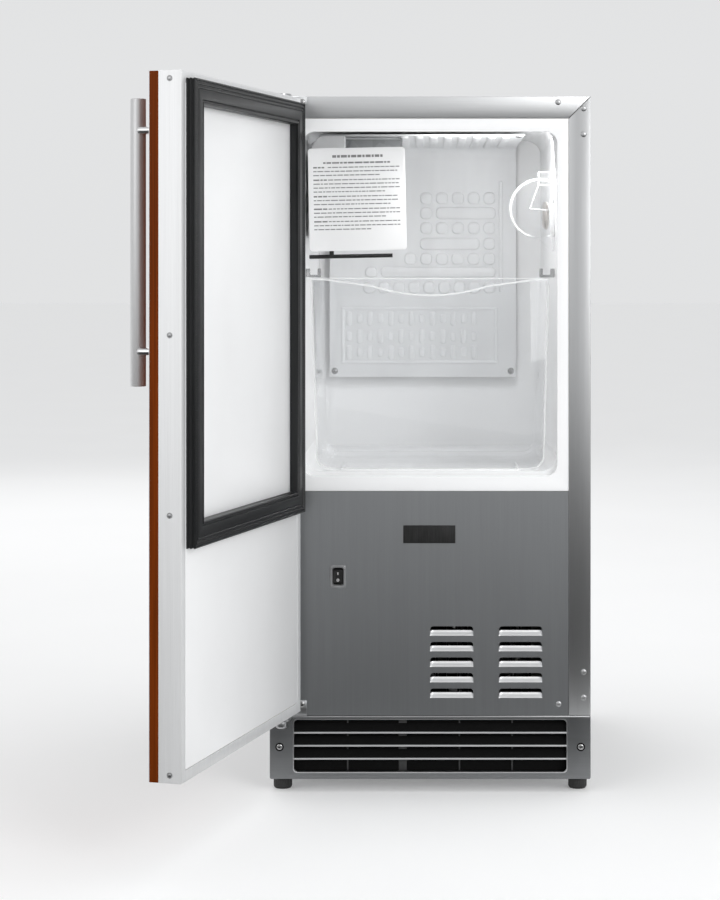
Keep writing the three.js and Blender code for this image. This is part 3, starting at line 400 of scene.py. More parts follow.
# Painted shade: the panel's steel is given a darker colour than the rails' steel, standing in for the dim
# floor that it mirrors.
panel_steel_painted_shade = brushed("front_panel_steel_painted_shade", grey(0.345, 0.06), 2, 0.38)

bm = bmesh.new()
corners = [(panel_low.x, panel_low.z), (panel_high.x, panel_low.z),
           (panel_high.x, panel_high.z), (panel_low.x, panel_high.z)]
bm.faces.new([bm.verts.new((x, face, z)) for x, z in corners])


def score(axis, places):
    """Cuts the flat sheet along straight lines across an axis."""
    normal = Vector((axis == 0, 0, axis == 2))
    for place in places:
        sliced(bm, normal * place, normal)


slots = [(x, slot_first + row * slot_pitch) for x in slot_columns for row in range(slot_rows)]
switch_x, switch_z = (bezel_low.x + bezel_high.x) / 2, (bezel_low.z + bezel_high.z) / 2
window = (bezel_high.x - bezel_low.x) / 2 - switch_lap, (bezel_high.z - bezel_low.z) / 2 - switch_lap
score(0, [x + hand * slot_width / 2 for x in slot_columns for hand in (-1, 1)])
score(2, [z + hand * slot_height / 2 for z in {z for _, z in slots} for hand in (-1, 1)])
score(0, [switch_x - window[0], switch_x + window[0]])
score(2, [switch_z - window[1], switch_z + window[1]])


def inside(point, x, z, half_width, half_height):
    return abs(point.x - x) < half_width and abs(point.z - z) < half_height


holes = [(x, z, slot_width / 2, slot_height / 2) for x, z in slots] + [(switch_x, switch_z, *window)]
gone = [f for f in bm.faces if any(inside(f.calc_center_median(), *hole) for hole in holes)]
bmesh.ops.delete(bm, geom=gone, context="FACES_KEEP_BOUNDARY")
extruded(bm, (0, sheet, 0))


def is_slot_corner(edge):
    """An edge through the sheet at one of a slot's two upper corners."""
    a, b = (v.co for v in edge.verts)
    if abs(a.y - b.y) < sheet / 2:
        return False
    return any(abs(abs(a.x - x) - slot_width / 2) < 1e-5 and abs(a.z - z - slot_height / 2) < 1e-5
               for x, z in slots)


soften(bm, [e for e in bm.edges if is_slot_corner(e)], slot_corner, 6)
finished("front_panel_sheet", bm, panel_steel_painted_shade, "cabinet", ["front_panel"], smooth=35)

bm = bmesh.new()
for x, z in slots:
    scoop = bmesh.ops.create_grid(bm, x_segments=48, y_segments=9, size=0.5)["verts"]
    for vert in scoop:
        across, up = vert.co.x * 2, vert.co.y + 0.5
        cheek = 1 - abs(across) ** 26
        lean = scoop_depth * cheek * (1 - (1 - up) ** 1.8)
        rise = (slot_lip + scoop_lap * cheek) * up
        foot_z = z - slot_height / 2 - 0.0004
        vert.co = (x + across * (slot_width / 2 + scoop_lap), face + 0.0002 + lean, foot_z + rise)
    skin = list({f for v in scoop for f in v.link_faces})
    bmesh.ops.recalc_face_normals(bm, faces=skin)
    bmesh.ops.solidify(bm, geom=skin, thickness=0.0007)
# Painted highlight: the scoops are given a near-white steel, far lighter than the sheet that they are pressed
# from.
scoop_steel_painted_highlight = brushed("louvre_steel_painted_highlight", grey(0.9, 0.01), 0, 0.4)
finished("louvre_scoops", bm, scoop_steel_painted_highlight, "cabinet", smooth=35)


# ----------------------------------------------------------
# Badge: a small blank plate with a satin black face, glued on the panel.

badge_low, badge_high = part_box("name_badge")
bm = bmesh.new()
block(bm, badge_low, badge_high, 0.0004)
badge_finish = mottled("badge_enamel", {"Roughness": 0.55, "Specular IOR Level": 0.25}, (900, 900, 60),
                       grey(0.012), grey(0.022), (0.35, 0.7))
finished("blank_badge", bm, badge_finish, "cabinet", ["name_badge"])


# ----------------------------------------------------------
# Power switch: a satin grey rim snapped into the panel round a black nylon rocker, whose two marks, a bar
# and a ring, are white paint. The rocker turns on its own pin.

bezel_half = (bezel_high.x - bezel_low.x) / 2
bezel_rise = (bezel_high.z - bezel_low.z) / 2
rocker_low, rocker_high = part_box("rocker_switch")
rocker_pin = Vector(next(j["pos_m"] for j in frame["joints"] if j["name"] == "rocker_tilt"))
rocker_radius = 0.0082
rocker_lean = radians(7)


def rounded(bm, width, height, radius, place, steps=5):
    """A closed loop of edges: a rectangle with round corners, drawn flat and then put in its place."""
    before = set(bm.faces)
    corners = [bm.verts.new((sx * width / 2, sy * height / 2, 0))
               for sx, sy in ((-1, -1), (1, -1), (1, 1), (-1, 1))]
    bm.faces.new(corners)
    if radius:
        bmesh.ops.bevel(bm, geom=corners, offset=radius, offset_type="OFFSET", affect="VERTICES",
                        segments=steps, profile=0.5, material=-1, clamp_overlap=True)
    flat = next(f for f in bm.faces if f not in before)
    edges = list(flat.edges)
    bmesh.ops.transform(bm, matrix=place, verts=list(flat.verts))
    bm.faces.remove(flat)
    return edges


def loft(bm, loops, ends="closed"):
    """Bridges one loop of edges to the next. Its ends are closed, or joined to each other in a ring."""
    for first, second in zip(loops, loops[1:]):
        bmesh.ops.bridge_loops(bm, edges=first + second)
    if ends == "ring":
        bmesh.ops.bridge_loops(bm, edges=loops[-1] + loops[0])
    else:
        for loop in (loops[0], loops[-1]):
            bmesh.ops.contextual_create(bm, geom=loop)


def facing_front(x, y, z):
    """Stands a flat outline upright in the plane of the front, its height along Z."""
    return Matrix.Translation((x, y, z)) @ Matrix.Rotation(pi / 2, 4, "X")


nylon = mottled("black_nylon", {"Roughness": 0.38, "Specular IOR Level": 0.5}, 700, grey(0.011), grey(0.02),
                (0.3, 0.75), grain=(2400, 0.00004, 0.25))

bm = bmesh.new()
rim_steps = ((0.0, face - 0.0003), (0.0, face - 0.0009), (0.0012, face - 0.002), (0.0026, face - 0.00195),
             (0.0034, face - 0.0006), (0.0038, face + 0.009))
loops = [rounded(bm, 2 * (bezel_half - inset), 2 * (bezel_rise - inset), 0.0026,
                 facing_front(switch_x, y, switch_z))
         for inset, y in rim_steps]
bezel_wall = 0.0024
for y in (face + 0.0091, face - 0.0002):
    loops.append(rounded(bm, 2 * (bezel_half - bezel_wall), 2 * (bezel_rise - bezel_wall), 0.0012,
                         facing_front(switch_x, y, switch_z)))
loft(bm, loops, "ring")
cover_finish = mottled("switch_cover_satin", {"Roughness": 0.3, "Coat Weight": 0.5}, 300, grey(0.17, 0.04),
                       grey(0.22, 0.04))
finished("switch_surround", bm, cover_finish, "cabinet", ["switch_bezel"])

bm = bmesh.new()
end_angle, back_angle, arc_steps = radians(25), radians(50), 10
outline = [(rocker_radius * sin(a), rocker_radius * cos(a)) for a in
           [-end_angle + i * (end_angle + back_angle) / arc_steps for i in range(arc_steps + 1)]]
outline += [(y, -z) for y, z in reversed(outline)] + [(-0.0019, 0)]
verts = [bm.verts.new((rocker_low.x, y, z)) for y, z in outline]
bm.faces.new(verts)
extruded(bm, (rocker_high.x - rocker_low.x, 0, 0))
sharp_edges = [e for e in bm.edges if e.calc_face_angle(0) > radians(35)]
soften(bm, sharp_edges, 0.0005)
in_place = Matrix.Translation((0, rocker_pin.y, rocker_pin.z)) @ Matrix.Rotation(rocker_lean, 4, "X")
moved(bm, in_place)
finished("rocker_button", bm, nylon, "rocker", ["rocker_switch"], smooth=30)

mark_paint = mottled("white_mark_paint", {"Roughness": 0.5}, 3000, grey(0.6), grey(0.8), (0.3, 0.6))
bm = bmesh.new()
block(bm, (-0.0004, -0.00015, 0.0024), (0.0004, 0.00015, 0.0056), 0.0001)
slope = Matrix.Rotation(0.208, 4, "X")
on_face = Matrix.Translation((0, -0.0020, 0))
moved(bm, on_face @ slope)
upper_verts = set(bm.verts)
for radius in (0.0016, 0.0010):
    bmesh.ops.create_circle(bm, radius=radius, segments=24, matrix=facing_front(0, 0, -0.0041))
ring_edges = [e for e in bm.edges if e.verts[0] not in upper_verts]
bmesh.ops.bridge_loops(bm, edges=ring_edges)
ring_faces = [f for f in bm.faces if f.verts[0] not in upper_verts]
bmesh.ops.solidify(bm, geom=ring_faces, thickness=0.0003)
moved(bm, on_face @ slope.inverted(), upper_verts)
moved(bm, Matrix.Translation((switch_x, 0, 0)) @ in_place)
finished("rocker_marks", bm, mark_paint, "rocker")


# ----------------------------------------------------------
# Kick plate: a pan of dark brushed steel across the foot of the machine, its opening flanged inwards. Sloping
# slats keep fingers out; their front edges, the opening's rolled edge and the plate's top lip are pale steel,
# a painted highlight. Black skins on the slats' faces, and ribs and a black sheet behind them, are near-black
# painted shade. A cross-recessed screw sits in a round cup at each end.

kick_deep = kick_high.y - kick_low.y
kick_mid_z = (kick_low.z + kick_high.z) / 2
kick_half = (kick_high.x - kick_low.x) / 2
vent_half = kick_half - 0.0285
vent_low = kick_low.z + 0.0086
vent_high = kick_high.z - 0.005
vent_mid = (vent_low + vent_high) / 2
vent_rise = (vent_high - vent_low) / 2
skin_steel = 0.0014

kick_finish = brushed("kick_plate_steel", grey(0.225, 0.05), 0, 0.36, depth=0.00002)
outer = (kick_half, kick_mid_z - kick_low.z, kick_mid_z)
opening = (vent_half, vent_rise, vent_mid)


def pan_loop(bm, outline, grow, y, corner):
    """A loop of edges round an outline of the pan, which is a half width, a half height and a middle."""
    half, rise, middle_z = outline
    return rounded(bm, 2 * (half + grow), 2 * (rise + grow), corner, facing_front(middle, y, middle_z), 6)


bm = bmesh.new()
loft(bm, [pan_loop(bm, *loop) for loop in (
    (outer, 0, kick_high.y, 0.002),
    (outer, 0, face + 0.0014, 0.002),
    (outer, -0.0004, face + 0.0004, 0.002),
    (outer, -0.0014, face, 0.002),
    (opening, 0.0012, face + 0.00005, 0.0045),
    (opening, 0.0003, face + 0.0004, 0.0042),
    (opening, 0, face + 0.0013, 0.004),
    (opening, 0, face + 0.006, 0.004),
    (opening, skin_steel, face + 0.00605, 0.004),
    (opening, skin_steel, face + skin_steel, 0.004),
    (outer, -skin_steel, face + skin_steel + 0.0001, 0.001),
    (outer, -skin_steel, kick_high.y - 0.0001, 0.001),
)], "ring")

slat_pitch = (vent_high - vent_low) / 4
slat_reach = vent_half + 0.001
slat_run = kick_deep - 0.0025
slat_drop = 0.008
slat_front = face + 0.0013
# Painted highlight: the beads are pale steel laid on the slats' fronts, the opening's edge and the top lip.
# Painted shade: the skins are black layers laid on each slat's upper and lower faces.
highlight_beads = bmesh.new()
slat_shade_skins = bmesh.new()


def slat_layer(part, start, low, high, edge):
    """One flat layer of a slat, before it is tilted."""
    block(part, (middle - slat_reach, start, low), (middle + slat_reach, hypot(slat_run, slat_drop), high),
          edge, 1)


for i in (1, 2, 3):
    front_z = vent_low + i * slat_pitch
    tilt = Matrix.Translation((0, slat_front, front_z)) @ Matrix.Rotation(slat_drop / slat_run, 4, "X")
    before = set(bm.verts)
    slat_layer(bm, 0, -0.0005, 0.0005, 0.0002)
    rod(bm, (middle - slat_reach, 0.0003, 0), (middle + slat_reach, 0.0003, 0), 0.00105, sides=16)
    moved(bm, tilt, before)
    before = set(slat_shade_skins.verts)
    slat_layer(slat_shade_skins, 0.0006, 0.0005, 0.0008, 0.0001)
    slat_layer(slat_shade_skins, 0.0006, -0.0008, -0.0005, 0.0001)
    moved(slat_shade_skins, tilt, before)
    rod(highlight_beads, (middle - vent_half, slat_front, front_z), (middle + vent_half, slat_front, front_z), 0.00125,
        sides=20)
finished("kick_plate_pan", bm, kick_finish, "cabinet", ["kick_plate"], smooth=35)

rolled = [pan_loop(highlight_beads, opening, wide, face + deep, 0.0045) for wide, deep in (
    (0.0010, 0.0004), (0.0010, -0.00005), (0.0002, -0.00008), (-0.0002, 0.0006), (0.0001, 0.0012))]
loft(highlight_beads, rolled, "ring")
block(highlight_beads, (middle - kick_half + 0.0012, face - 0.00015, kick_high.z - 0.0018),
      (middle + kick_half - 0.0012, face + 0.0006, kick_high.z - 0.0004), 0.0004)
# Painted highlight: a pale steel for the rolled edges and the top lip.
bead_steel_painted_highlight = brushed("rolled_edge_steel_painted_highlight", grey(0.62, 0.02), 0, 0.3)
finished("kick_plate_highlight_beads", highlight_beads, bead_steel_painted_highlight, "cabinet")
# Painted shade: a black sheet across the back of the opening, where there is only shade.
block(slat_shade_skins, (middle - vent_half - 0.001, kick_high.y - 0.0007, vent_low - 0.001),
      (middle + vent_half + 0.001, kick_high.y - 0.0002, vent_high + 0.001))
# Near-black: painted shade on the slat skins and the back sheet, and the screw cups' own colour.
painted_shade_and_cup_black = mottled("painted_shade_and_cup_black", {"Roughness": 0.9, "Specular IOR Level": 0.1}, 1500, grey(0.002),
                     grey(0.010), grain=(1500, 0.0002, 0.6))
finished("kick_plate_painted_shade", slat_shade_skins, painted_shade_and_cup_black, "cabinet")

# Painted shade: the ribs behind the slats are given a near-black colour.
rib_painted_shade = mottled("rib_plastic_painted_shade", {"Roughness": 0.55}, 300, grey(0.035), grey(0.05))
bm = bmesh.new()
thin_rib, wide_rib = 0.0018, 0.0095
for offset, width in ((-0.0975, thin_rib), (-0.0325, wide_rib), (0.0345, thin_rib), (0.0968, thin_rib)):
    block(bm, (middle + offset - width / 2, face + 0.0098, kick_low.z + 0.002),
          (middle + offset + width / 2, kick_high.y, kick_high.z - 0.002), 0.0003)
finished("kick_plate_ribs", bm, rib_painted_shade, "cabinet")

screw_steel = mottled("screw_steel", {"Metallic": 1.0, "Roughness": 0.24}, 900, grey(0.3), grey(0.46))
for side, hand in (("left", -1), ("right", 1)):
    low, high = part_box(f"kick_screw_{side}")
    centre = (low + high) / 2
    bm = bmesh.new()
    for radius, y in ((0.0050, 0.00005), (0.0046, 0.0004), (0.0030, 0.0004)):
        bmesh.ops.create_circle(bm, radius=radius, segments=32,
                                matrix=facing_front(centre.x, face - y, centre.z))
    bmesh.ops.bridge_loops(bm, edges=bm.edges[:], use_pairs=False)
    bmesh.ops.solidify(bm, geom=bm.faces[:], thickness=0.0002)
    finished(f"kick_screw_cup_{side}", bm, painted_shade_and_cup_black, "cabinet")
    bm = bmesh.new()
    dome(bm, (centre.x, face - 0.0001, centre.z), 0.0036, 0.0011)
    rod(bm, (centre.x, face - 0.0002, centre.z), (centre.x, high.y, centre.z), 0.0022, sides=20)
    finished(f"kick_screw_{side}_steel", bm, screw_steel, "cabinet", [f"kick_screw_{side}"])
    bm = bmesh.new()
    for turn in (0, pi / 2):
        before = set(bm.verts)
        block(bm, (-0.0018, -0.0002, -0.00035), (0.0018, 0.0001, 0.00035))
        moved(bm, Matrix.Rotation(turn + 0.4 * hand, 4, "Y"), before)
    bmesh.ops.translate(bm, vec=(centre.x, face - 0.00105, centre.z), verts=bm.verts)
    finished(f"kick_screw_recess_{side}", bm, nylon, "cabinet")


# ----------------------------------------------------------
# Levelling feet: black nylon knobs with gripping flutes, each moulded with the stud that turns in the base.

def ring(bm, radius, sides, place):
    """A closed loop of edges: a circle drawn flat and then put in its place."""
    verts = bmesh.ops.create_circle(bm, radius=radius, segments=sides, matrix=place)["verts"]
    return list({e for v in verts for e in v.link_edges})


foot_rubber = mottled("foot_nylon", {"Roughness": 0.45}, 500, grey(0.008), grey(0.02),
                      grain=(1800, 0.00005, 0.3))
flutes = 24
for foot in ("foot_front_left", "foot_front_right", "foot_rear_left", "foot_rear_right"):
    low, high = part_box(foot)
    radius = (high.x - low.x) / 2
    centre = Vector(((low.x + high.x) / 2, (low.y + high.y) / 2, 0))
    bm = bmesh.new()
    rings = []
    for height, share in ((0.0, 0.82), (0.0012, 0.93), (0.003, 0.98), (0.0095, 0.98), (0.0126, 0.93),
                          (0.014, 0.80)):
        rings.append(ring(bm, radius * share, flutes * 4, Matrix.Translation((0, 0, height))))
        if 0.002 < height < 0.012:
            for vert in {v for e in rings[-1] for v in e.verts}:
                turn = vert.co.to_2d().angle_signed(Vector((1, 0)))
                vert.co.xy *= 1 - 0.05 * (0.5 - 0.5 * cos(turn * flutes))
    loft(bm, rings)
    rod(bm, (0, 0, 0.013), (0, 0, high.z), 0.005, 0.0006, 24)
    bmesh.ops.translate(bm, vec=centre, verts=bm.verts)
    finished(foot + "_knob", bm, foot_rubber, foot, [foot])


# ----------------------------------------------------------
# Casing: a folded shell of charcoal painted steel, with galvanised back panels and base pan screwed to it,
# and rigid foam poured between the shell and the liner.

def spot(x, y, z):
    """A place in millimetres: right of the middle of the front's face, behind it, and above the ground."""
    return Vector((middle + x / 1000, face + y / 1000, z / 1000))


shell_paint = mottled("charcoal_paint", {"Roughness": 0.42, "Coat Roughness": 0.3}, 7, grey(0.05, 0.05),
                      grey(0.062, 0.05), grain=(1500, 0.00006, 0.3))
shell_paint.vary("Coat Weight", shell_paint.noise(20) * 0.15)
dressed("shell_paintwork", "cabinet_shell", 0.0005, shell_paint, "cabinet")

galvanised = Finish("galvanised_steel", {"Metallic": 1.0})
spangle = galvanised.node("ShaderNodeTexVoronoi", {"feature": "F1"},
                          {"Vector": galvanised.place(), "Scale": 90.0})
flake_shade = galvanised.node("ShaderNodeSeparateXYZ", {}, {0: spangle.outputs["Color"]}).outputs[0]
galvanised.vary("Base Color", galvanised.ramp(flake_shade, (0.0, grey(0.42, 0.03)), (1.0, grey(0.55, 0.03))))
galvanised.vary("Roughness", Channel(galvanised, flake_shade) * 0.18 + 0.34)
for node in ("back_panel", "rear_cover", "base_pan"):
    dressed(node + "_sheet", node, 0.0003, galvanised, "cabinet")

bm = bmesh.new()
back_low, back_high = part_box("back_panel")
cover_low, cover_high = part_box("rear_cover")
screw_in = 0.010
for x in (back_low.x + 0.009, (back_low.x + back_high.x) / 2, back_high.x - 0.009):
    for z in (cover_low.z + 0.012, cover_high.z - screw_in, back_low.z + screw_in, back_high.z - screw_in):
        dome(bm, (x, back_high.y - 0.0002, z), 0.0042, 0.0016, (0, 1, 0))
finished("rear_screws", bm, screw_steel, "cabinet")

foam = mottled("poured_foam", {"Roughness": 0.9}, 60, (0.62, 0.52, 0.3, 1), (0.74, 0.64, 0.4, 1),
               grain=(500, 0.0004, 0.6))
dressed("wall_foam", "foam_core", 0.0, foam, "cabinet")


# ----------------------------------------------------------
# Liner: a tub vacuum-formed from white high-impact polystyrene, with a flange round its mouth and generous
# corners. Its skin is glossy with a faint orange peel.

white_skin = mottled("white_polystyrene", {"Roughness": 0.26, "Specular IOR Level": 0.5}, 9, grey(0.86, 0.01),
                     grey(0.89, 0.01))
white_skin.bump(white_skin.noise(420, 2.0), 0.00004, 0.25)
dressed("liner_tub", "liner", 0.0016, white_skin, "cabinet", steps=3, smooth=50)

bm = bmesh.new()
tub_floor = 377.0
ridge_half, ridge_front, ridge_back = 105, 14, 120
corners = [spot(x, y, tub_floor) for x, y in ((-ridge_half, ridge_back), (-ridge_half, ridge_front),
                                              (ridge_half, ridge_front), (ridge_half, ridge_back))]
for start, end in zip(corners, corners[1:]):
    rod(bm, start, end, 0.0016, 0.0008, 16)
finished("floor_drain_ridges", bm, white_skin, "cabinet")


# ----------------------------------------------------------
# Evaporator: one roll-bonded aluminium sheet bent down the back wall, the refrigerant's passages blown up
# into pillows between its two skins. Four screws hold it to the liner.

roll_bond = mottled("roll_bond_aluminium", {"Metallic": 0.12}, (30, 30, 6), grey(0.74, 0.02),
                    grey(0.80, 0.02))
roll_bond.vary("Roughness", roll_bond.noise((90, 90, 20)) * 0.2 + 0.34)
roll_bond.bump(roll_bond.noise((600, 600, 60)), 0.00004, 0.3)
dressed("evaporator_sheet", "evaporator_plate", 0.0003, roll_bond, "cabinet", smooth=50)

plate_face = 379.5
plate_ceiling = 779.3
plate_screw = (0.0045, 0.0016)


def pillow(bm, left, right, low, high, rise, corner, lying=False):
    """A blown passage on the back wall, or lying under the ceiling, where low and high run backwards."""
    width, height = (right - left) / 1000, (high - low) / 1000
    x, up = (left + right) / 2, (low + high) / 2
    loops = []
    for inset, stand in ((0.0, -0.2), (0.15, 0.35), (0.45, 0.8), (1.0, 1.0)):
        edge = 2 * inset * rise / 1000
        if lying:
            place = Matrix.Translation(spot(x, up, plate_ceiling - rise * stand))
        else:
            place = facing_front(*spot(x, plate_face - rise * stand, up))
        loops.append(rounded(bm, width - edge, height - edge, max(corner / 1000 - edge / 2, 0.0008), place,
                             4))
    loft(bm, loops)


bm = bmesh.new()
columns = (-5.4, 15.9, 37.4, 58.8, 79.7)
pad = 8.3
pad_rise = 2.2
pad_corner = 6.4
for z, places, bars, half_height in (
        (711.6, columns, [], pad),
        (671.4, columns, [], pad),
        (691.4, columns[:1], [(7.5, 88.5)], pad),
        (650.2, columns[-1:], [(-14, 67)], pad),
        (630, [-26.8 + 21.3 * i for i in range(6)], [], pad),
        (612, [-79.7], [(-67, 88.5)], pad - 1),
        (591.3, [-82.4 + 20.3 * i for i in range(9)], [], pad)):
    for left, right in [(x - pad, x + pad) for x in places] + bars:
        pillow(bm, left, right, z - half_height, z + half_height, pad_rise, pad_corner)
pillow(bm, 92.5, 98.0, 585, 735, 1.6, 2.6)
for row, z in enumerate((549.2, 525.1, 503.8)):
    for i in range(13):
        x = -109.4 + 14.05 * i
        reach = 10.0 if (i + row) % 2 == 0 else 6.6
        pillow(bm, x - 3.9, x + 3.9, z - reach, z + reach, 1.6, 3.8)
for left, right, low, high in ((-120, 91.3, 560.5, 565), (-120, 91.3, 488, 492.5), (-120, -115.5, 490, 563),
                               (86.8, 91.3, 490, 563)):
    pillow(bm, left, right, low, high, 1.4, 2.2)
for i in range(8):
    x = -32 + 18 * i
    pillow(bm, x - 5.5, x + 5.5, 120, 352, 2.2, 5.4, lying=True)
finished("evaporator_passages", bm, roll_bond, "cabinet", smooth=70)

bm = bmesh.new()
for x in (-122.8, 109.5):
    dome(bm, spot(x, 127, plate_ceiling - 0.1), *plate_screw, (0, 0, -1))
for x in (-129, 109):
    dome(bm, spot(x, plate_face - 0.1, 478.5), *plate_screw)
finished("evaporator_screws", bm, screw_steel, "cabinet")


# ----------------------------------------------------------
# Ice bin: moulded in clear acrylic with a rolled rim and a scooped front. The rim and a thin band round the
# front wall's edges are milky acrylic, a painted highlight for the bright lines of clear edges. The clips
# that keep it from sliding out are the same acrylic, smoked.

def acrylic(name, tint, haze, strength):
    """Clear plastic: see-through face on, mirror-like at a glance, with a little milky haze."""
    made = Finish(name, {"Roughness": 0.2})
    made.vary("Base Color", made.ramp(made.noise(60), (0.3, tint), (0.7, [min(1, c * 1.06) for c in tint])))
    clear = made.node("ShaderNodeBsdfTransparent", {}, {"Color": (0.992, 0.994, 0.996, 1)})
    gloss = made.node("ShaderNodeBsdfGlossy", {}, {"Color": (1, 1, 1, 1), "Roughness": 0.04})
    glance = made.node("ShaderNodeFresnel", {}, {"IOR": 1.49})
    shine = Channel(made, glance.outputs[0]) * strength
    sheet = made.node("ShaderNodeMixShader", {}, {0: shine, 1: clear.outputs[0], 2: gloss.outputs[0]})
    body = made.node("ShaderNodeMixShader", {}, {0: haze, 1: sheet.outputs[0], 2: made.shader.outputs[0]})
    made.feed(made.tree.nodes["Material Output"].inputs["Surface"], body.outputs[0])
    return made


clear_wall = acrylic("clear_acrylic", grey(0.85, 0.01), 0.02, 0.75)
# Painted highlight: this acrylic is half milky white, for the bright lines that clear plastic shows along its
# edges.
clear_rim_painted_highlight = acrylic("acrylic_rim_painted_highlight", grey(0.9, 0.005), 0.48, 1.2)
smoked = acrylic("smoked_acrylic", grey(0.22, 0.02), 0.4, 1.2)


def unshaded(made):
    """Clear plastic lets the light through, so it throws no shadow and dims nothing behind it."""
    unseen(made, "shadow", "diffuse")


unshaded(dressed("ice_bin_walls", "ice_bin", 0.0009, clear_wall, "ice_bin", smooth=45))


def rim_of(node, facing, keep, thickness):
    """The faces of a frame node that look one way, thickened into a bead along its edge."""
    bm = copied(node, 0.0)
    others = [f for f in bm.faces if f.normal.dot(Vector(facing)) < 0.6 or not keep(f.calc_center_median())]
    bmesh.ops.delete(bm, geom=others, context="FACES")
    bmesh.ops.solidify(bm, geom=bm.faces[:], thickness=thickness)
    return bm


bin_low, bin_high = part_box("ice_bin")
unshaded(finished("ice_bin_rim", rim_of("ice_bin", (0, 0, 1), lambda c: c.z > bin_high.z - 0.025, 0.0011),
                  clear_rim_painted_highlight, "ice_bin"))
# Painted highlight: a thin milky band inset round the front wall's edges.
bm = copied("ice_bin", 0.0)
front_wall = [f for f in bm.faces if f.normal.y < -0.9 and f.calc_center_median().y < bin_low.y + 0.001]
bmesh.ops.delete(bm, geom=[f for f in bm.faces if f not in front_wall], context="FACES")
for inset in (0.0007, 0.0011):
    bmesh.ops.inset_region(bm, faces=[f for f in bm.faces if f.calc_area() > 0.01], thickness=inset, depth=0,
                           use_boundary=True, use_even_offset=True)
bmesh.ops.delete(bm, geom=[f for f in bm.faces if f.calc_area() > 0.01], context="FACES")
bmesh.ops.solidify(bm, geom=bm.faces[:], thickness=0.0004)
unshaded(finished("ice_bin_front_edge_highlight", bm, clear_rim_painted_highlight, "ice_bin"))
for side in ("left", "right"):
    dressed(f"bin_clip_{side}_hook", f"bin_clip_{side}", 0.0008, smoked, "cabinet")


# ----------------------------------------------------------
# Thermostat: a tinned copper sensing bulb on the right wall, under a clear drum-shaped guard that keeps ice
# off it. The guard is moulded with a square frame and a bent tongue. The filter drier is bare copper.

unshaded(dressed("thermostat_guard_drum", "thermostat_guard", 0.0007, clear_wall, "cabinet",
                 smooth=45))
# Painted highlight: the guard's front hoop, frame and tongue are the milky rim acrylic.
bm = bmesh.new()
drum = (132.1, 688.1)
hoops = [ring(bm, radius, 72, facing_front(*spot(drum[0], y, drum[1]))) for radius, y in
         ((0.0369, 57.5), (0.0369, 55.7), (0.0362, 55.05), (0.0346, 55.1), (0.0340, 55.6), (0.0340, 57.4))]
loft(bm, hoops, "ring")
wall = spot(149.6, 0, 0).x
sliced(bm, (wall, 0, 0), (1, 0, 0), clear=True)
sliced(bm, spot(0, 0, 655), (0, 0, -1), clear=True)
bmesh.ops.holes_fill(bm, edges=[e for e in bm.edges if e.is_boundary], sides=0)
for left, low, right, high in ((129.9, 717.0, 131.1, 733.0), (129.9, 731.8, 149.4, 733.0),
                               (129.9, 716.6, 149.4, 717.8), (144.6, 654.6, 149.4, 694.0)):
    block(bm, spot(left, 55.2, low), spot(right, 56.4, high), 0.0003)
tongue = [spot(x, 56.0, z) for x, z in ((130.5, 716.8), (119.8, 688.2), (141.7, 686.4), (149.0, 714.8))]
for start, end in zip(tongue, tongue[1:]):
    rod(bm, start, end, 0.0008, 0.0003, 12)
finished("thermostat_guard_rim", bm, clear_rim_painted_highlight, "cabinet")
copper = mottled("drawn_copper", {"Metallic": 1.0}, (60, 60, 400), (0.72, 0.33, 0.18, 1),
                 (0.85, 0.43, 0.26, 1))
copper.vary("Roughness", copper.noise(300) * 0.2 + 0.22)
tinned = mottled("tinned_copper", {"Metallic": 1.0}, (60, 60, 400), (0.62, 0.58, 0.55, 1),
                 (0.74, 0.71, 0.68, 1))
tinned.vary("Roughness", tinned.noise(300) * 0.2 + 0.25)
dressed("thermostat_sensor", "thermostat_bulb", 0.0006, tinned, "cabinet")
dressed("filter_drier_shell", "filter_drier", 0.0008, copper, "cabinet")


# ----------------------------------------------------------
# Ice-making module: a moulded gearbox, a cast mould with its comb and rake, a fill cup and its pipe. A white
# card clips over the front, with rows of grey bars on it. A black arm stops the module when the bin is full.

moulded_white = mottled("moulded_white", {"Roughness": 0.4}, 40, grey(0.70, 0.01), grey(0.76, 0.01),
                        grain=(1500, 0.00004, 0.3))
for node in ("icemaker_housing", "stripper_comb", "fill_cup", "fill_tube"):
    dressed(node + "_moulding", node, 0.0007, moulded_white, "cabinet")

card_stock = mottled("card_face", {"Roughness": 0.34}, 25, grey(0.86, 0.004), grey(0.88, 0.004))
dressed("module_card", "icemaker_cover", 0.0006, card_stock, "cabinet")

ink = mottled("grey_ink", {"Roughness": 0.6}, 1500, grey(0.16), grey(0.27))
card_middle = spot(-87.2, 39.93, 699.3)
card_roll = Matrix.Translation(card_middle) @ Matrix.Rotation(radians(-1.1), 4, "Y")
words = random.Random(7)
bm = bmesh.new()


def printed_row(bm, left, right, up, tall, bold):
    """One row of word-like bars, from left to right, about the card's middle."""
    before = set(bm.verts)
    x = left
    while x < right - 2:
        wide = min(words.uniform(2.0, 8.5) * (1.15 if bold else 1), right - x)
        middle_x = (x + wide / 2) / 1000
        block(bm, (middle_x - wide / 2000, -0.00005, (up - tall / 2) / 1000),
              (middle_x + wide / 2000, 0.00005, (up + tall / 2) / 1000))
        x += wide + 1.1
    moved(bm, card_roll, before)


printed_row(bm, -29, 32, 51.5, 3.0, True)
printed_row(bm, -40, 40, 43.8, 1.9, True)
paragraphs = (0, 3, 7, 10, 13)
line = 38.4
for row in range(16):
    starts = row in paragraphs
    ends = row + 1 in paragraphs or row == 15
    reach = 51 if not ends else words.uniform(10, 40)
    if starts:
        printed_row(bm, -52, -36, line, 1.7, True)
        printed_row(bm, -34.5, reach, line, 1.15, False)
    else:
        printed_row(bm, -52, reach, line, 1.15, False)
    line -= 5.6 if ends else 4.7
finished("card_bars", bm, ink, "cabinet")

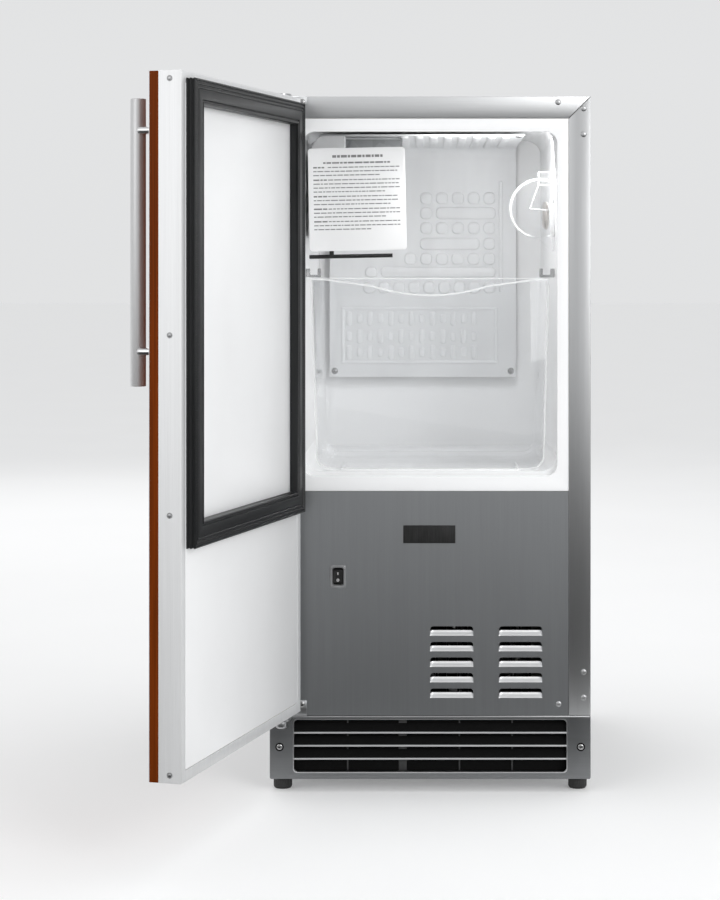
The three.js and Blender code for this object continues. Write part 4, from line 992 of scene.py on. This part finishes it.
cast = mottled("cast_aluminium", {"Metallic": 0.8}, 200, grey(0.42, 0.02), grey(0.52, 0.02),
               grain=(1500, 0.0001, 0.4))
cast.vary("Roughness", cast.noise(400) * 0.2 + 0.4)
dressed("ice_mould_casting", "icemaker_mold", 0.0005, cast, "cabinet")
dressed("module_bracket_sheet", "module_bracket", 0.0003, galvanised, "cabinet")
dressed("ejector_fingers", "ejector_rake", 0.0006, nylon, "ejector")
dressed("shutoff_wire", "shutoff_arm", 0.0006, nylon, "shutoff_arm")


# ----------------------------------------------------------
# Machine compartment: the compressor with its relay box, the condenser, the fan in its shroud, the tray that
# the defrost water drains to, the water valve and the power inlet.

black_enamel = mottled("black_enamel", {"Roughness": 0.22, "Coat Roughness": 0.1}, 20, grey(0.008),
                       grey(0.016), grain=(260, 0.0001, 0.3))
black_enamel.vary("Coat Weight", black_enamel.noise(15) * 0.5)
dressed("compressor_pot", "compressor", 0.0015, black_enamel, "cabinet", steps=3, smooth=60)
dressed("fan_motor_case", "fan_motor", 0.0010, black_enamel, "cabinet", smooth=50)

# Painted shade: the fins are given a near-black colour, so that the louvres in the front panel show dark
# slots.
fins_painted_shade = mottled("fin_aluminium_painted_shade", {"Metallic": 1.0}, 60, grey(0.035, 0.02), grey(0.06, 0.02))
fins_painted_shade.vary("Roughness", fins_painted_shade.noise(500) * 0.2 + 0.3)
dressed("condenser_pack", "condenser", 0.0, fins_painted_shade, "cabinet")

for node in ("relay_box", "fan_shroud", "drip_tray", "power_inlet"):
    dressed(node + "_moulding", node, 0.0006, nylon, "cabinet")
dressed("fan_rotor", "fan_blade", 0.0004, nylon, "fan", smooth=50)
dressed("water_valve_body", "water_valve", 0.0006, moulded_white, "cabinet")


# ----------------------------------------------------------
# Hinges: two zinc-plated brackets folded round the front frame's left corners, each holding a pin that a
# nylon bush in the door turns on. Round-head screws fix them.

bright_zinc = brushed("bright_zinc", grey(0.46, 0.03), 0, 0.3)
for end, holes, up in (("top", upper_holes, -1), ("bottom", lower_holes, 1)):
    dressed(f"hinge_plate_{end}", f"hinge_bracket_{end}", 0.0004, bright_zinc, "cabinet")
    dressed(f"hinge_pivot_{end}", f"hinge_pin_{end}", 0.0006, bright_zinc, "cabinet")
    low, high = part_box(f"hinge_bracket_{end}")
    bm = bmesh.new()
    for inward, away in holes:
        z = (top_high.z if end == "top" else kick_high.z) + up * away
        dome(bm, (side_left + inward, face - 0.0030, z), 0.0036, 0.0012)
    finished(f"hinge_screws_{end}", bm, screw_steel, "cabinet")
    dressed(f"hinge_bush_{end}_nylon", f"hinge_bush_{end}", 0.0004, moulded_white, "door")


# ----------------------------------------------------------
# Door frame: a channel of bright brushed steel folded round the foam and screwed through its edge. Each door
# piece is made with the door shut, then swung open on its hinge pin.

door_joint = next(j for j in frame["joints"] if j["name"] == "door_hinge")
door_pin = Vector((door_joint["pos_m"][0], door_joint["pos_m"][1], 0))
door_swing = radians(-105)
door_turn = Matrix.Translation(door_pin) @ Matrix.Rotation(door_swing, 4, "Z") @ Matrix.Translation(-door_pin)


def shut_box(node):
    """The corners of a door node's box when the door is shut."""
    back = door_turn.inverted()
    places = [back @ v.co for v in frame["nodes"][node].data.vertices]
    return (Vector([min(p[i] for p in places) for i in range(3)]),
            Vector([max(p[i] for p in places) for i in range(3)]))


frame_low, frame_high = shut_box("door_frame")
edge_steel = brushed("door_edge_steel", grey(0.82, 0.01), 2, 0.5, metal=0.45)
dressed("door_channel", "door_frame", 0.0009, edge_steel, "door", steps=3)
dressed("door_foam_core", "door_foam", 0.0, foam, "door")

rims, heads = bmesh.new(), bmesh.new()
edge_middle = (frame_low.y + frame_high.y) / 2
door_screw_heights = (0.8067, 0.5487, 0.3677, 0.1071)
for z in door_screw_heights:
    rod(rims, (frame_high.x - 0.002, edge_middle, z), (frame_high.x + 0.00005, edge_middle, z), 0.0031,
        0.0001, 32)
    dome(heads, (frame_high.x - 0.0003, edge_middle, z), 0.0022, 0.0006, (1, 0, 0))
for name, bm, screw_finish in (("door_screw_rims", rims, smoked), ("door_screw_heads", heads, plug_finish)):
    moved(bm, door_turn)
    finished(name, bm, screw_finish, "door")


# ----------------------------------------------------------
# Door lining: a smooth panel vacuum-formed from white polystyrene and held in the channel's lips. Its skin
# has a faint orange peel.

door_white = mottled("door_polystyrene", {"Roughness": 0.34, "Specular IOR Level": 0.45}, 9,
                     grey(0.83, 0.008), grey(0.86, 0.008))
door_white.bump(door_white.noise(300, 2.0), 0.00003, 0.2)
dressed("door_lining", "door_liner", 0.0008, door_white, "door")


# ----------------------------------------------------------
# Gasket: a black magnetic seal, extruded and mitred at its corners, with thin bellows ridges outside, a flat
# magnet band and a lip inside. It is pushed into the door's lining.

gasket_low, gasket_high = shut_box("door_gasket")
seal_middle = (gasket_low + gasket_high) / 2
seal_half = (gasket_high.x - gasket_low.x) / 2
seal_rise = (gasket_high.z - gasket_low.z) / 2
seal = ((0.0, 0.05), (0.0, 1.4), (1.0, 2.2), (1.0, 3.2), (0.0, 4.0), (0.0, 5.4), (1.0, 6.2), (1.0, 7.2),
        (0.0, 8.0),
        (0.0, 9.3), (0.5, 10.2), (1.6, 10.15), (2.4, 8.4), (3.6, 8.45), (4.2, 10.0), (5.4, 9.95),
        (6.0, 8.4), (7.2, 8.45), (7.8, 9.8), (9.2, 9.75), (9.9, 8.6), (10.8, 9.7), (20.4, 9.8), (21.2, 8.0),
        (22.4, 8.05), (23.0, 9.9), (24.6, 9.85), (25.4, 8.9), (26.0, 6.0), (26.0, 0.0))
bm = bmesh.new()
loops = [rounded(bm, 2 * seal_half - inset / 500, 2 * seal_rise - inset / 500, 0,
                 facing_front(seal_middle.x, gasket_low.y + stand / 1000, seal_middle.z))
         for inset, stand in seal]
loft(bm, loops, "ring")
bellows = gasket_low.y + 0.007
ribs_round = [e for e in bm.edges if e.calc_face_angle(0) > radians(25) and e.verts[0].co.y > bellows]
soften(bm, ribs_round, 0.00028)
moved(bm, door_turn)
seal_rubber = mottled("seal_rubber", {"Roughness": 0.34, "Specular IOR Level": 0.26}, (40, 40, 12),
                      grey(0.009, 0.1), grey(0.014, 0.1), grain=(1600, 0.00001, 0.2))
finished("door_seal", bm, seal_rubber, "door", ["door_gasket"], smooth=50)


# ----------------------------------------------------------
# Wood front: a slab of oiled cherry, its grain upright, glued on the door's face. A thin bright strip guards
# its outer edge and its top.

wood_low, wood_high = shut_box("wood_panel")
cherry = Finish("oiled_cherry", {"Roughness": 0.36, "Coat Roughness": 0.25, "Specular IOR Level": 0.05})
fibre = cherry.noise((900, 900, 7), 4.0, -door_swing)
figure = cherry.noise((60, 60, 2.2), 3.0, -door_swing)
pores = cherry.noise((2200, 2200, 30), 2.0, -door_swing)
grain_tone = fibre * 0.45 + figure * 0.4 + pores * 0.15
cherry.vary("Base Color", cherry.ramp(
    grain_tone, (0.30, (0.062, 0.012, 0.0004, 1)), (0.48, (0.13, 0.022, 0.0004, 1)),
    (0.62, (0.19, 0.034, 0.0006, 1)),
    (0.78, (0.27, 0.055, 0.002, 1))))
cherry.vary("Roughness", fibre * 0.2 + 0.3)
cherry.vary("Coat Weight", figure * 0.04)
cherry.bump(fibre * 0.6 + pores * 0.4, 0.00012, 0.5)
strip = 0.0009
lap = 0.0012
bm = bmesh.new()
block(bm, wood_low + Vector((0, 0.0003, 0)), wood_high + Vector((0.00008, lap, -0.0004)), 0.0007, 3)
moved(bm, door_turn)
finished("cherry_slab", bm, cherry, "door", ["wood_panel"])
bm = bmesh.new()
block(bm, (wood_high.x - strip, wood_low.y, wood_low.z), (wood_high.x, wood_low.y + strip, wood_high.z),
      0.0003)
block(bm, (wood_low.x, wood_low.y, wood_high.z - strip), (wood_high.x, wood_low.y + strip, wood_high.z),
      0.0003)
moved(bm, door_turn)
finished("edge_strip", bm, edge_steel, "door")


# ----------------------------------------------------------
# Handle: a stout brushed-steel tube standing off the wood on two turned posts, screwed from inside.

handle_low, handle_high = shut_box("handle_bar")
handle_steel = brushed("handle_steel", grey(0.66, 0.01), 2, 0.4, -door_swing, metal=0.6)
bm = bmesh.new()
handle_middle = (handle_low + handle_high) / 2
rod(bm, (handle_middle.x, handle_middle.y, handle_low.z), (handle_middle.x, handle_middle.y, handle_high.z),
    (handle_high.x - handle_low.x) / 2, 0.0007, 64)
moved(bm, door_turn)
finished("handle_tube", bm, handle_steel, "door", ["handle_bar"])
post_steel = brushed("post_steel", grey(0.86, 0.01), 1, 0.3, -door_swing)
for end in ("upper", "lower"):
    low, high = shut_box(f"handle_post_{end}")
    middle_z = (low.z + high.z) / 2
    bm = copied(f"handle_post_{end}", 0.0004, 3)
    before = set(bm.verts)
    post_x = handle_middle.x + 0.0062
    post_end = handle_middle.y + 0.0035
    rod(bm, (post_x, wood_low.y - 0.0002, middle_z), (post_x, post_end, middle_z), 0.0037, 0.0010, 32)
    dome(bm, (post_x, post_end + 0.0002, middle_z), 0.0035, 0.0022)
    moved(bm, door_turn, before)
    finished(f"handle_standoff_{end}", bm, post_steel, "door", [f"handle_post_{end}"])
